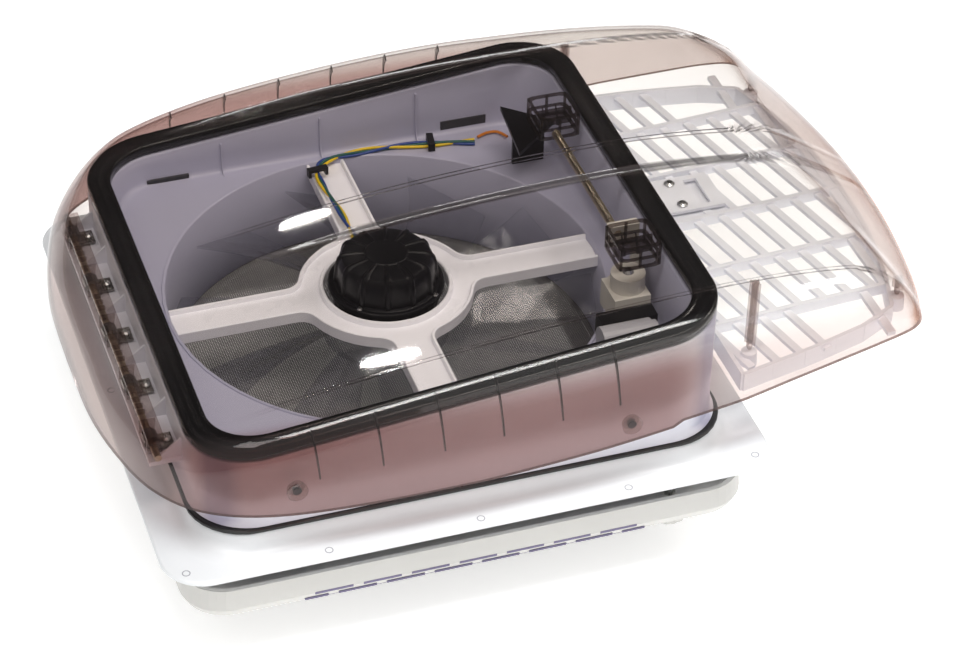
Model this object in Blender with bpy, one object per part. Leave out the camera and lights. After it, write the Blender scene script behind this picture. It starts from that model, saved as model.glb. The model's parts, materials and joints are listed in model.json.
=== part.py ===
"""Roof vent cover: a 12 in fan in a 14 in roof opening, under a hinged smoke hood.

Frame: metres, origin at the centre of the roof opening on the underside of the
roof flange, +X towards the tail of the hood, +Y across the hood, +Z up.
"""

import math

import bmesh
import bpy
from mathutils import Matrix, Vector

MM = 0.001

# --- driving dimensions, millimetres -------------------------------------------------
FLANGE_HALF_X = 210.0
FLANGE_HALF_Y = 206.0
FLANGE_RADIUS = 30.0
FLANGE_THICK = 4.0
COLLAR_HALF = 184.0
COLLAR_TOP = 17.0
GASKET_TOP = 20.2
HOLE_RADIUS = 2.6
CORNER_HOLE = 196.0
MID_HOLE = 103.0

HOUSING_HALF = 181.0
HOUSING_RADIUS = 46.0
HOUSING_SKIN = 2.5
RIM_INNER_HALF = 164.0
SHELF_HALF = 160.5
SHELF_Z = 53.0
FAN_X = -3.5
THROAT_RADIUS = 152.0
THROAT_BOTTOM = -16.0
SEAL_Z = 97.0
SEAL_SLOPE = 0.1
SEAL_THICK = 8.0

SPOKE_HALF = 14.0
HUB_OUTER = 61.0
HUB_INNER = 43.5
HUB_FILLET = 12.0

IMPELLER_RADIUS = 147.0
BLADE_COUNT = 10

HINGE_X = -198.0
HINGE_Z = 54.0
ROD_RADIUS = 2.5
CLIP_PITCH = 57.5

LID_THICK = 2.4
LID_APEX_X = 145.0
LID_APEX_Z = 128.0

BEZEL_HALF = 195.0
BEZEL_TOP = -18.0
BEZEL_BOTTOM = -43.0
BEZEL_OPENING = 140.0

LOUVRE_PITCH = 18.5
KNOB_X = 148.0
KNOB_Y = -164.0
KNOB_BOTTOM = -60.0
KNOB_RIDGES = 32
SHAFT_RADIUS = 3.0
SHAFT_BOTTOM = -55.0
SHAFT_TOP = 46.5
FIT_GAP = 0.3
RACK_RADIUS = 355.0
RACK_Y = -60.0
RACK_LOW = -13.0
RACK_HIGH = 7.6
PINION_X = 145.4
PINION_Z = 66.0

CORNER_STEPS = 8
SIDE_STEPS = 6
LID_HALF_STEPS = 36


def clear_scene():
    for obj in list(bpy.data.objects):
        bpy.data.objects.remove(obj, do_unlink=True)


def material(name, colour, roughness=0.5, metallic=0.0, alpha=1.0):
    mat = bpy.data.materials.new(name)
    mat.use_nodes = True
    shader = mat.node_tree.nodes["Principled BSDF"]
    shader.inputs["Base Color"].default_value = (*colour, 1.0)
    shader.inputs["Roughness"].default_value = roughness
    shader.inputs["Metallic"].default_value = metallic
    shader.inputs["Alpha"].default_value = alpha
    mat.diffuse_color = (*colour, alpha)
    return mat


def finish_mesh(name, bm, colour, roughness=0.5, metallic=0.0, smooth=40.0, alpha=1.0):
    """Turn a bmesh in millimetres into a named object with its own material."""
    bmesh.ops.recalc_face_normals(bm, faces=bm.faces)
    bmesh.ops.scale(bm, vec=(MM, MM, MM), verts=bm.verts)
    mesh = bpy.data.meshes.new(name)
    bm.to_mesh(mesh)
    bm.free()
    obj = bpy.data.objects.new(name, mesh)
    bpy.context.scene.collection.objects.link(obj)
    if colour is not None:
        mesh.materials.append(material(name + "_finish", colour, roughness, metallic, alpha))
    if smooth:
        mesh.shade_smooth()
        mesh.set_sharp_from_angle(angle=math.radians(smooth))
    return obj


def faces_from(bm, loops, closed):
    """Quads between consecutive loops of equal length; closed joins the last to the first."""
    count = len(loops)
    last = count if closed else count - 1
    for k in range(last):
        a = loops[k]
        b = loops[(k + 1) % count]
        for i in range(len(a)):
            j = (i + 1) % len(a)
            bm.faces.new((a[i], a[j], b[j], b[i]))


def ring_solid(bm, rings, closed=True):
    loops = [[bm.verts.new(p) for p in ring] for ring in rings]
    faces_from(bm, loops, closed)
    if not closed:
        bm.faces.new(loops[0][::-1])
        bm.faces.new(loops[-1])
    return loops


def rounded_square(half_x, half_y, radius, height, steps=None, sides=None):
    """Points round a rounded rectangle; height is a number or a function of x."""
    steps = CORNER_STEPS if steps is None else steps
    sides = 1 if sides is None else sides
    points = []
    centres = ((1, 1, 0), (-1, 1, 90), (-1, -1, 180), (1, -1, 270))
    for sx, sy, start in centres:
        cx = sx * (half_x - radius)
        cy = sy * (half_y - radius)
        for k in range(steps + 1):
            angle = math.radians(start + 90.0 * k / steps)
            points.append((cx + radius * math.cos(angle), cy + radius * math.sin(angle)))
    ring = []
    per = steps + 1
    for c in range(4):
        corner = points[c * per : (c + 1) * per]
        ring.extend(corner)
        ax, ay = corner[-1]
        bx, by = points[((c + 1) * per) % len(points)]
        for k in range(1, sides):
            t = k / sides
            ring.append((ax + (bx - ax) * t, ay + (by - ay) * t))
    out = []
    for x, y in ring:
        z = height(x) if callable(height) else height
        out.append((x, y, z))
    return out


def circle_like(reference, radius, cx, cy, z):
    """Points on a circle at the same bearings as the points of another ring."""
    out = []
    for x, y, _ in reference:
        angle = math.atan2(y, x)
        out.append((cx + radius * math.cos(angle), cy + radius * math.sin(angle), z))
    return out


def circle(radius, z, count, cx=0.0, cy=0.0, phase=0.0):
    ring = []
    for k in range(count):
        angle = 2 * math.pi * (k + phase) / count
        ring.append((cx + radius * math.cos(angle), cy + radius * math.sin(angle), z))
    return ring


def add_box(bm, x0, x1, y0, y1, z0, z1):
    low = [(x0, y0, z0), (x1, y0, z0), (x1, y1, z0), (x0, y1, z0)]
    high = [(x, y, z1) for x, y, _ in low]
    return ring_solid(bm, [low, high], closed=False)


def add_prism(bm, outline, z0, z1):
    low = [(x, y, z0) for x, y in outline]
    high = [(x, y, z1) for x, y in outline]
    return ring_solid(bm, [low, high], closed=False)


def add_cylinder(bm, radius, z0, z1, count, cx=0.0, cy=0.0):
    return ring_solid(bm, [circle(radius, z0, count, cx, cy), circle(radius, z1, count, cx, cy)], False)


def add_cylinder_y(bm, radius, y0, y1, cx, cz, count):
    rings = []
    for y in (y0, y1):
        ring = circle(radius, 0.0, count)
        rings.append([(cx + a, y, cz + b) for a, b, _ in ring])
    return ring_solid(bm, rings, False)


def boolean(target, tool, operation):
    """Apply a cutter or an addition exactly, then remove the helper."""
    modifier = target.modifiers.new(operation.lower(), "BOOLEAN")
    modifier.operation = operation
    modifier.solver = "EXACT"
    modifier.use_self = operation == "UNION" and "housing" in target.name
    modifier.object = tool
    bpy.context.view_layer.update()
    graph = bpy.context.evaluated_depsgraph_get()
    result = bpy.data.meshes.new_from_object(target.evaluated_get(graph))
    target.modifiers.clear()
    old = target.data
    result.name = old.name
    target.data = result
    bpy.data.meshes.remove(old)
    bpy.data.objects.remove(tool, do_unlink=True)


def helper(build, smooth=0.0):
    bm = bmesh.new()
    build(bm)
    return finish_mesh("helper", bm, None, smooth=smooth)


def rim_height(x):
    return SEAL_Z - SEAL_THICK - 0.3 + SEAL_SLOPE * x


# --- roof flange and its gasket --------------------------------------------------------
def build_flange():
    bm = bmesh.new()
    inner = 176.0
    rings = [
        rounded_square(FLANGE_HALF_X, FLANGE_HALF_Y, FLANGE_RADIUS, 0.0),
        rounded_square(FLANGE_HALF_X, FLANGE_HALF_Y, FLANGE_RADIUS, FLANGE_THICK - 1.0),
        rounded_square(FLANGE_HALF_X - 1.2, FLANGE_HALF_Y - 1.2, FLANGE_RADIUS - 1.0, FLANGE_THICK),
        rounded_square(190.0, 190.0, 36.0, FLANGE_THICK),
        rounded_square(186.0, 186.0, 37.0, FLANGE_THICK + 3.0),
        rounded_square(COLLAR_HALF, COLLAR_HALF, 38.0, COLLAR_TOP - 1.0),
        rounded_square(COLLAR_HALF - 1.0, COLLAR_HALF - 1.0, 38.0, COLLAR_TOP),
        rounded_square(inner, inner, 34.0, COLLAR_TOP),
        rounded_square(inner, inner, 34.0, 0.0),
    ]
    ring_solid(bm, rings)
    flange = finish_mesh("roof_flange", bm, (0.86, 0.86, 0.85), 0.35)

    def holes(cut):
        spots = []
        for y in (-1, 1):
            for x in (-CORNER_HOLE, -MID_HOLE, 0.0, MID_HOLE, CORNER_HOLE):
                inset = 191.0 if abs(x) > 150 else 197.0
                spots.append((x * (1 if abs(x) < 150 else 0.995), y * inset))
        for x in (-1, 1):
            for y in (-100.0, 0.0, 100.0):
                spots.append((x * 200.0, y))
        for x, y in spots:
            add_cylinder(cut, HOLE_RADIUS, -2.0, 8.0, 12, x, y)

    boolean(flange, helper(holes), "DIFFERENCE")
    gasket = bmesh.new()
    low = COLLAR_TOP + 0.15
    high = GASKET_TOP
    rings = [
        rounded_square(COLLAR_HALF + 0.6, COLLAR_HALF + 0.6, 40.0, low + 0.6),
        rounded_square(COLLAR_HALF + 0.6, COLLAR_HALF + 0.6, 40.0, high - 0.6),
        rounded_square(COLLAR_HALF - 0.4, COLLAR_HALF - 0.4, 39.0, high),
        rounded_square(177.0, 177.0, 35.0, high),
        rounded_square(177.0, 177.0, 35.0, low),
        rounded_square(COLLAR_HALF - 0.4, COLLAR_HALF - 0.4, 39.0, low),
    ]
    ring_solid(gasket, rings)
    finish_mesh("flange_gasket", gasket, (0.02, 0.02, 0.02), 0.6)


# --- fan housing with its four-spoke motor mount -----------------------------------------
def spider_outline():
    reach = THROAT_RADIUS - 2.3
    across = SPOKE_HALF + HUB_FILLET
    centre = HUB_OUTER + HUB_FILLET
    along = math.sqrt(centre**2 - across**2)
    touch = math.atan2(across, along)
    points = []
    for quarter in range(4):
        turn = math.radians(90 * quarter)
        local = [(reach, SPOKE_HALF)]
        for k in range(5):
            angle = -math.pi / 2 + (touch - math.pi / 2) * k / 4
            local.append((along + HUB_FILLET * math.cos(angle), across + HUB_FILLET * math.sin(angle)))
        low = touch
        high = math.pi / 2 - touch
        for k in range(1, 4):
            angle = low + (high - low) * k / 4
            local.append((HUB_OUTER * math.cos(angle), HUB_OUTER * math.sin(angle)))
        for k in range(5):
            angle = -math.pi / 2 + (touch - math.pi / 2) * (4 - k) / 4
            local.append((across + HUB_FILLET * math.sin(angle), along + HUB_FILLET * math.cos(angle)))
        local.append((SPOKE_HALF, reach))
        for x, y in local:
            points.append(
                (
                    FAN_X + x * math.cos(turn) - y * math.sin(turn),
                    x * math.sin(turn) + y * math.cos(turn),
                )
            )
    return points


def build_housing():
    bm = bmesh.new()
    skin = HOUSING_SKIN
    outer = HOUSING_HALF
    foot = GASKET_TOP + 0.3
    radius = HOUSING_RADIUS

    def loop(half, corner, height):
        return rounded_square(half, half, corner, height, None, SIDE_STEPS)

    reference = loop(SHELF_HALF, 34.0, SHELF_Z)
    rings = [
        loop(outer + 1.5, 40.0, foot),
        loop(outer, radius, rim_height),
        loop(RIM_INNER_HALF, radius - 14.0, rim_height),
        reference,
        circle_like(reference, THROAT_RADIUS, FAN_X, 0.0, SHELF_Z),
        circle_like(reference, THROAT_RADIUS, FAN_X, 0.0, THROAT_BOTTOM),
        circle_like(reference, THROAT_RADIUS + skin, FAN_X, 0.0, THROAT_BOTTOM),
        circle_like(reference, THROAT_RADIUS + skin, FAN_X, 0.0, SHELF_Z - skin),
        loop(SHELF_HALF + skin, 36.0, SHELF_Z - skin),
        loop(RIM_INNER_HALF + skin, radius - 12.0, lambda x: rim_height(x) - skin),
        loop(outer - skin, radius - 2.0, lambda x: rim_height(x) - skin),
        loop(outer - 1.0, 38.0, foot),
    ]
    ring_solid(bm, rings)
    housing = finish_mesh("fan_housing", bm, (0.82, 0.82, 0.86), 0.4)

    def rack_slot(cut):
        x = HINGE_X + RACK_RADIUS
        add_box(cut, x - 8.0, x + 6.5, RACK_Y - 5.0, RACK_Y + 5.0, SHELF_Z - 8.0, SHELF_Z + 4.0)

    boolean(housing, helper(rack_slot), "DIFFERENCE")

    def hinge_shelf(add):
        add_box(add, -203.5, -180.0, -131.0, 131.0, HINGE_Z - 10.0, HINGE_Z - 6.3)
        for k in (-2.24, -1.5, -0.5, 0.5, 1.5, 2.24):
            add_gusset(add, k * CLIP_PITCH)

    boolean(housing, helper(hinge_shelf), "UNION")


def build_spider():
    bm = bmesh.new()
    add_prism(bm, spider_outline(), SHELF_Z - 9.0, SHELF_Z - 0.6)
    spider = finish_mesh("motor_spider", bm, (0.82, 0.82, 0.86), 0.4)

    def channels(cut):
        add_cylinder(cut, HUB_INNER, SHELF_Z - 15.0, SHELF_Z + 5.0, 40, FAN_X, 0.0)
        for quarter in range(4):
            turn = math.radians(90 * quarter)
            corners = []
            for x, y in ((66.0, -10.0), (146.0, -10.0), (146.0, 10.0), (66.0, 10.0)):
                corners.append(
                    (
                        FAN_X + x * math.cos(turn) - y * math.sin(turn),
                        x * math.sin(turn) + y * math.cos(turn),
                    )
                )
            add_prism(cut, corners, SHELF_Z - 3.2, SHELF_Z + 5.0)

    boolean(spider, helper(channels), "DIFFERENCE")


def add_gusset(bm, y):
    low = HINGE_Z - 6.8
    profile = [(-199.0, low), (-179.6, low), (-179.6, low + 15.0)]
    rings = [[(x, side, z) for x, z in profile] for side in (y - 1.0, y + 1.0)]
    ring_solid(bm, rings, False)


# --- motor and fan -----------------------------------------------------------------------
def build_motor():
    base = SHELF_Z + 0.3
    plate = bmesh.new()
    add_cylinder(plate, 40.5, base - 0.6, base + 2.6, 32, FAN_X, 0.0)
    finish_mesh("motor_plate", plate, (0.03, 0.03, 0.03), 0.4)
    cap = bmesh.new()
    low = base + 2.9
    count = 48
    rings = []
    for radius, z, groove in ((36.0, low, 0.0), (35.0, low + 2.0, 1.6), (30.0, 78.0, 1.6)):
        ring = []
        for k in range(count):
            cut = groove if k % 4 == 0 else 0.0
            angle = 2 * math.pi * k / count
            ring.append(
                (FAN_X + (radius + cut) * math.cos(angle), (radius + cut) * math.sin(angle), z)
            )
        rings.append(ring)
    rings.append(circle(28.0, 79.6, count, FAN_X, 0.0))
    rings.append(circle(12.0, 79.9, count, FAN_X, 0.0))
    rings.append(circle(11.0, 78.9, count, FAN_X, 0.0))
    ring_solid(cap, rings, False)
    finish_mesh("motor_cap", cap, (0.02, 0.02, 0.02), 0.45)
    body = bmesh.new()
    add_cylinder(body, 37.0, 42.0, base - 0.9, 32, FAN_X, 0.0)
    finish_mesh("motor_body", body, (0.08, 0.08, 0.08), 0.4)
    for k in range(4):
        screw = bmesh.new()
        angle = math.radians(45 + 90 * k)
        x = FAN_X + 38.3 * math.cos(angle)
        y = 38.3 * math.sin(angle)
        rings = [circle(2.0, base + 2.75, 10, x, y), circle(1.3, base + 3.9, 10, x, y)]
        ring_solid(screw, rings, False)
        finish_mesh(f"motor_screw_{k + 1}", screw, (0.7, 0.7, 0.7), 0.25, 1.0)


def blade(bm, turn):
    """One pitched blade from the hub to the tip, a closed thin solid."""
    rows = []
    stations = 5
    for k in range(stations):
        t = k / (stations - 1)
        radius = 40.0 + (IMPELLER_RADIUS - 40.0) * t
        half = 17.0 + 15.0 * t
        pitch = math.radians(38.0 - 18.0 * t)
        sweep = turn + math.radians(10.0) * t
        rise = half * math.sin(pitch)
        reach = half * math.cos(pitch) / radius
        row = []
        for side, lift in ((-1, -0.9), (0, -0.9 - 2.0), (1, -0.9), (1, 0.9), (0, 0.9 - 2.0), (-1, 0.9)):
            angle = sweep + side * reach
            row.append(
                (FAN_X + radius * math.cos(angle), radius * math.sin(angle), 27.0 + side * rise + lift)
            )
        rows.append(row)
    ring_solid(bm, rows, False)


def build_impeller():
    hub = bmesh.new()
    rings = [
        circle(43.0, 39.0, 40, FAN_X, 0.0),
        circle(44.0, 12.0, 40, FAN_X, 0.0),
        circle(36.0, 8.0, 40, FAN_X, 0.0),
        circle(3.4, 8.0, 40, FAN_X, 0.0),
        circle(3.4, 36.0, 40, FAN_X, 0.0),
        circle(40.0, 36.0, 40, FAN_X, 0.0),
        circle(40.0, 39.0, 40, FAN_X, 0.0),
    ]
    ring_solid(hub, rings)
    impeller = finish_mesh("fan_impeller", hub, (0.12, 0.12, 0.13), 0.3)

    def blades(add):
        for k in range(BLADE_COUNT):
            blade(add, 2 * math.pi * (k + 0.25) / BLADE_COUNT)

    boolean(impeller, helper(blades), "UNION")
    shaft = bmesh.new()
    add_cylinder(shaft, 3.1, 1.0, 41.7, 16, FAN_X, 0.0)
    finish_mesh("rotor_shaft", shaft, (0.7, 0.7, 0.7), 0.25, 1.0)
    nut = bmesh.new()
    rings = [
        circle(6.4, 2.4, 6, FAN_X, 0.0),
        circle(6.4, 7.7, 6, FAN_X, 0.0),
        circle(3.9, 7.7, 6, FAN_X, 0.0),
        circle(3.9, 2.4, 6, FAN_X, 0.0),
    ]
    ring_solid(nut, rings)
    finish_mesh("impeller_nut", nut, (0.6, 0.6, 0.6), 0.3, 1.0)


# --- smoke hood ------------------------------------------------------------------------------
HALF_OUTLINE = (
    (-229.0, 0.0),
    (-227.5, 60.0),
    (-219.0, 108.0),
    (-205.0, 147.0),
    (-180.0, 176.0),
    (-140.0, 193.0),
    (-80.0, 200.0),
    (0.0, 201.0),
    (80.0, 199.0),
    (140.0, 195.0),
    (200.0, 189.0),
    (260.0, 181.0),
    (304.0, 174.0),
    (322.0, 167.0),
    (330.0, 152.0),
    (338.5, 122.0),
    (346.0, 80.0),
    (350.5, 40.0),
    (352.0, 0.0),
)


def half_outline(steps):
    """Evenly spaced points along a smooth curve through the outline stations."""
    keys = [(-227.5, -60.0), *HALF_OUTLINE, (350.5, -40.0)]
    fine = []
    for k in range(1, len(keys) - 2):
        p0, p1, p2, p3 = keys[k - 1 : k + 3]
        for s in range(12):
            t = s / 12
            point = []
            for a, b, c, d in zip(p0, p1, p2, p3, strict=True):
                value = 2 * b + (c - a) * t
                value += (2 * a - 5 * b + 4 * c - d) * t * t
                value += (3 * b - a - 3 * c + d) * t * t * t
                point.append(value / 2)
            fine.append(tuple(point))
    fine.append(HALF_OUTLINE[-1])
    lengths = [0.0]
    for a, b in zip(fine, fine[1:], strict=False):
        lengths.append(lengths[-1] + math.dist(a, b))
    out = []
    index = 0
    for k in range(steps + 1):
        goal = lengths[-1] * k / steps
        while index < len(fine) - 2 and lengths[index + 1] < goal:
            index += 1
        span = lengths[index + 1] - lengths[index]
        t = (goal - lengths[index]) / span
        a = fine[index]
        b = fine[index + 1]
        out.append((a[0] + (b[0] - a[0]) * t, a[1] + (b[1] - a[1]) * t))
    return out


FINE_OUTLINE = half_outline(400)


def smoothstep(low, high, value):
    t = min(1.0, max(0.0, (value - low) / (high - low)))
    return t * t * (3 - 2 * t)


def lerp(a, b, t):
    return a + (b - a) * t


def track(stations, value):
    """Straight-line interpolation through (position, value) stations."""
    for (x0, y0), (x1, y1) in zip(stations, stations[1:], strict=False):
        if value <= x1:
            return lerp(y0, y1, max(0.0, (value - x0) / (x1 - x0)))
    return stations[-1][1]


def lid_rim(x):
    return track(
        (
            (0.0, 37.0),
            (80.0, 41.0),
            (134.0, 45.0),
            (141.0, 49.0),
            (187.0, 52.0),
            (222.0, 57.0),
            (257.0, 61.0),
            (293.0, 65.0),
            (320.0, 67.0),
        ),
        x,
    )


def lid_top(x, y):
    """Height of the top skin: a long crown, a centre spine and two shoulder rails."""
    fall = 0.000322 if x < LID_APEX_X else 0.00062
    height = LID_APEX_Z - 3.0 - fall * (x - LID_APEX_X) ** 2
    crown = 8.0 - 5.0 * smoothstep(120.0, 280.0, x)
    height -= crown * (y / 185.0) ** 2
    spine = 1.0 - smoothstep(15.0, 20.0, abs(y))
    height += 3.0 * spine * smoothstep(-145.0, -20.0, x)
    rail = smoothstep(154.0, 158.0, abs(y) + 0.03 * max(0.0, x))
    height += 2.2 * rail * smoothstep(-170.0, -80.0, x)
    return height


def lid_point(px, py, w):
    """A point of the outer skin: w is 0 on the rim and 1 on the centre line."""
    mx = min(245.0, max(-128.0, px))
    length = math.hypot(px - mx, py)
    dx = (px - mx) / length
    x = px + (mx - px) * w
    y = py * (1 - w)
    end = smoothstep(0.08, 0.55, abs(dx))
    side_reach = lerp(20.0, 30.0, smoothstep(60.0, 260.0, px))
    end_reach = 60.0 if px < 0 else 78.0
    reach = lerp(side_reach, end_reach, end)
    power = lerp(2.7, 2.3 if px < 0 else 1.35, end)
    u = min(1.0, length * w / reach)
    rise = (1 - (1 - u) ** power) ** (1 / power)
    rim = lid_rim(px)
    return x, y, rim + (lid_top(x, y) - rim) * rise


def lid_levels(px, py):
    """Ring positions: close together on the wall and shoulder, wide on the top."""
    mx = min(245.0, max(-128.0, px))
    length = math.hypot(px - mx, py)
    dx = (px - mx) / length
    end = dx * dx
    wall = lerp(1.0, 3.0, end)
    near = [0.0, 1.2 * wall, 4.0 * wall, 9.0 * wall, 16.0 * wall, 25.0 * wall]
    levels = [d / length for d in near]
    start = levels[-1]
    for t in (0.18, 0.42, 0.68, 0.86, 0.955):
        levels.append(lerp(start, 1.0, t))
    return levels


def build_lid():
    half = half_outline(LID_HALF_STEPS)
    full = half + [(x, -y) for x, y in half[-2:0:-1]]
    count = len(full)
    outer = []
    inner = []
    levels = [lid_levels(px, py) for px, py in full]
    for ring in range(len(levels[0])):
        row = []
        row_in = []
        for k in range(count):
            px, py = full[k]
            w = levels[k][ring]
            p = Vector(lid_point(px, py, w))
            a = Vector(lid_point(px, py, min(0.999, w + 0.004)))
            b = Vector(lid_point(px, py, max(0.0, w - 0.004)))
            qx, qy = full[(k + 1) % count]
            rx, ry = full[k - 1]
            c = Vector(lid_point(qx, qy, levels[(k + 1) % count][ring]))
            d = Vector(lid_point(rx, ry, levels[k - 1][ring]))
            normal = (a - b).cross(c - d).normalized()
            if normal.z < 0:
                normal = -normal
            if ring == 0:
                away = Vector((p.x - min(245.0, max(-128.0, p.x)), p.y, 0.0)).normalized()
                normal = away
            row.append(tuple(p))
            row_in.append(tuple(p - normal * LID_THICK))
        outer.append(row)
        inner.append(row_in)
    bm = bmesh.new()
    out_loops = [[bm.verts.new(p) for p in row] for row in outer]
    in_loops = [[bm.verts.new(p) for p in row] for row in inner]
    faces_from(bm, out_loops, False)
    faces_from(bm, in_loops, False)
    faces_from(bm, [out_loops[0], in_loops[0]], False)
    for loops in (out_loops, in_loops):
        last = loops[-1]
        middle = count // 2
        bm.faces.new((last[0], last[1], last[count - 1]))
        for k in range(1, middle - 1):
            bm.faces.new((last[k], last[k + 1], last[count - k - 1], last[count - k]))
        bm.faces.new((last[middle - 1], last[middle], last[middle + 1]))
    lid = finish_mesh("lid_shell", bm, (0.32, 0.25, 0.22), 0.08, alpha=0.35)

    def posts(add):
        for x, y, low in ((205.0, 150.0, 60.5), (322.0, 130.0, 66.0)):
            for side in (-1, 1):
                add_cylinder(add, 4.5, low, hood_inside(x, y) + 1.2, 10, x, y * side)

    boolean(lid, helper(posts), "UNION")

    def seal_rib(add):
        rings = []
        for inset, raised in ((0.0, False), (0.0, True), (2.0, True), (2.0, False)):
            size = 174.0 - inset
            ring = rounded_square(size, size, 40.0, 0.0, None, SIDE_STEPS)
            shaped = []
            for x, y, _ in ring:
                if raised:
                    z = hood_inside(x, y) + 1.2
                else:
                    z = SEAL_Z + SEAL_SLOPE * x + 0.3
                shaped.append((x, y, z))
            rings.append(shaped)
        ring_solid(add, rings)

    boolean(lid, helper(seal_rib), "UNION")


def hood_inside(x, y):
    """Height of the hood's inner skin over a point of the plan, found along its ray."""
    best = None
    mx = min(245.0, max(-128.0, x))
    bearing = math.atan2(abs(y), x - mx)
    for px, py in FINE_OUTLINE:
        own = min(245.0, max(-128.0, px))
        if abs(x - mx) < 1e-6:
            miss = abs(px - x)
        elif abs(own - mx) < 1e-6:
            miss = abs(math.atan2(py, px - mx) - bearing) * 200.0
        else:
            continue
        if best is None or miss < best[0]:
            best = (miss, px, py)
    _, px, py = best
    length = math.hypot(px - mx, py)
    w = 1.0 - math.hypot(x - mx, y) / length
    return lid_point(px, py, w)[2] - LID_THICK


def build_seal():
    bm = bmesh.new()
    rings = []
    for half, radius, lift in (
        (181.0, 46.0, -SEAL_THICK + 1.5),
        (181.0, 46.0, -1.5),
        (179.5, 45.0, 0.0),
        (166.5, 35.0, 0.0),
        (165.0, 34.0, -1.5),
        (165.0, 34.0, -SEAL_THICK + 1.5),
        (167.0, 35.0, -SEAL_THICK),
        (179.0, 45.0, -SEAL_THICK),
    ):
        rings.append(
            rounded_square(half, half, radius, lambda x, lift=lift: SEAL_Z + SEAL_SLOPE * x + lift)
        )
    ring_solid(bm, rings)
    finish_mesh("lid_seal", bm, (0.01, 0.01, 0.01), 0.35)


def build_hinge():
    rod = bmesh.new()
    add_cylinder_y(rod, ROD_RADIUS, -136.0, 136.0, HINGE_X, HINGE_Z, 14)
    finish_mesh("hinge_rod", rod, (0.78, 0.76, 0.7), 0.3, 1.0)
    bar = bmesh.new()
    add_box(bar, -201.9, -190.5, -130.0, 130.0, HINGE_Z + 6.2, HINGE_Z + 8.4)
    lid_bar = finish_mesh("lid_hinge_bar", bar, (0.3, 0.24, 0.22), 0.1, alpha=0.5)

    def webs(add):
        for k in range(-2, 3):
            for side in (-1, 1):
                y = k * CLIP_PITCH + side * 11.0
                add_box(add, HINGE_X - 5.0, HINGE_X + 6.0, y - 1.2, y + 1.2, HINGE_Z - 3.4, HINGE_Z + 7.0)

    boolean(lid_bar, helper(webs), "UNION")

    def bore(cut):
        add_cylinder_y(cut, ROD_RADIUS + 0.4, -140.0, 140.0, HINGE_X, HINGE_Z, 14)

    boolean(lid_bar, helper(bore), "DIFFERENCE")
    for k in range(-2, 3):
        y = k * CLIP_PITCH
        loop = bmesh.new()
        rings = []
        for radius, side in ((5.2, -5.0), (5.2, 5.0), (ROD_RADIUS + 0.3, 5.0), (ROD_RADIUS + 0.3, -5.0)):
            ring = circle(radius, 0.0, 14)
            rings.append([(HINGE_X + a, y + side, HINGE_Z + b) for a, b, _ in ring])
        ring_solid(loop, rings)
        clip = finish_mesh(f"hinge_clip_{k + 3}", loop, (0.45, 0.45, 0.45), 0.3, 1.0)

        def foot(add, y=y):
            add_box(add, HINGE_X + 1.5, -183.5, y - 7.0, y + 7.0, HINGE_Z - 5.0, HINGE_Z - 3.4)

        boolean(clip, helper(foot), "UNION")

        def trim(cut, y=y):
            add_box(cut, HINGE_X - 8.0, HINGE_X + 8.0, y - 9.0, y + 9.0, HINGE_Z - 8.0, HINGE_Z - 5.0)

        boolean(clip, helper(trim), "DIFFERENCE")
        screw = bmesh.new()
        rings = [
            circle(3.0, HINGE_Z - 3.1, 10, -187.5, y),
            circle(3.0, HINGE_Z - 2.0, 10, -187.5, y),
            circle(1.8, HINGE_Z - 1.0, 10, -187.5, y),
        ]
        ring_solid(screw, rings, False)
        finish_mesh(f"hinge_screw_{k + 3}", screw, (0.7, 0.7, 0.7), 0.25, 1.0)


# --- rain louvre under the tail ---------------------------------------------------------------
def louvre_width(x):
    return track(((190.0, 172.0), (246.0, 163.0), (288.0, 153.0), (318.0, 139.0), (334.0, 90.0)), x)


def louvre_height(x):
    return 55.0 + 0.055 * (x - 190.0)


def louvre_end(y):
    return 339.0 - 26.0 * (abs(y) / 150.0) ** 2.2


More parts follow.
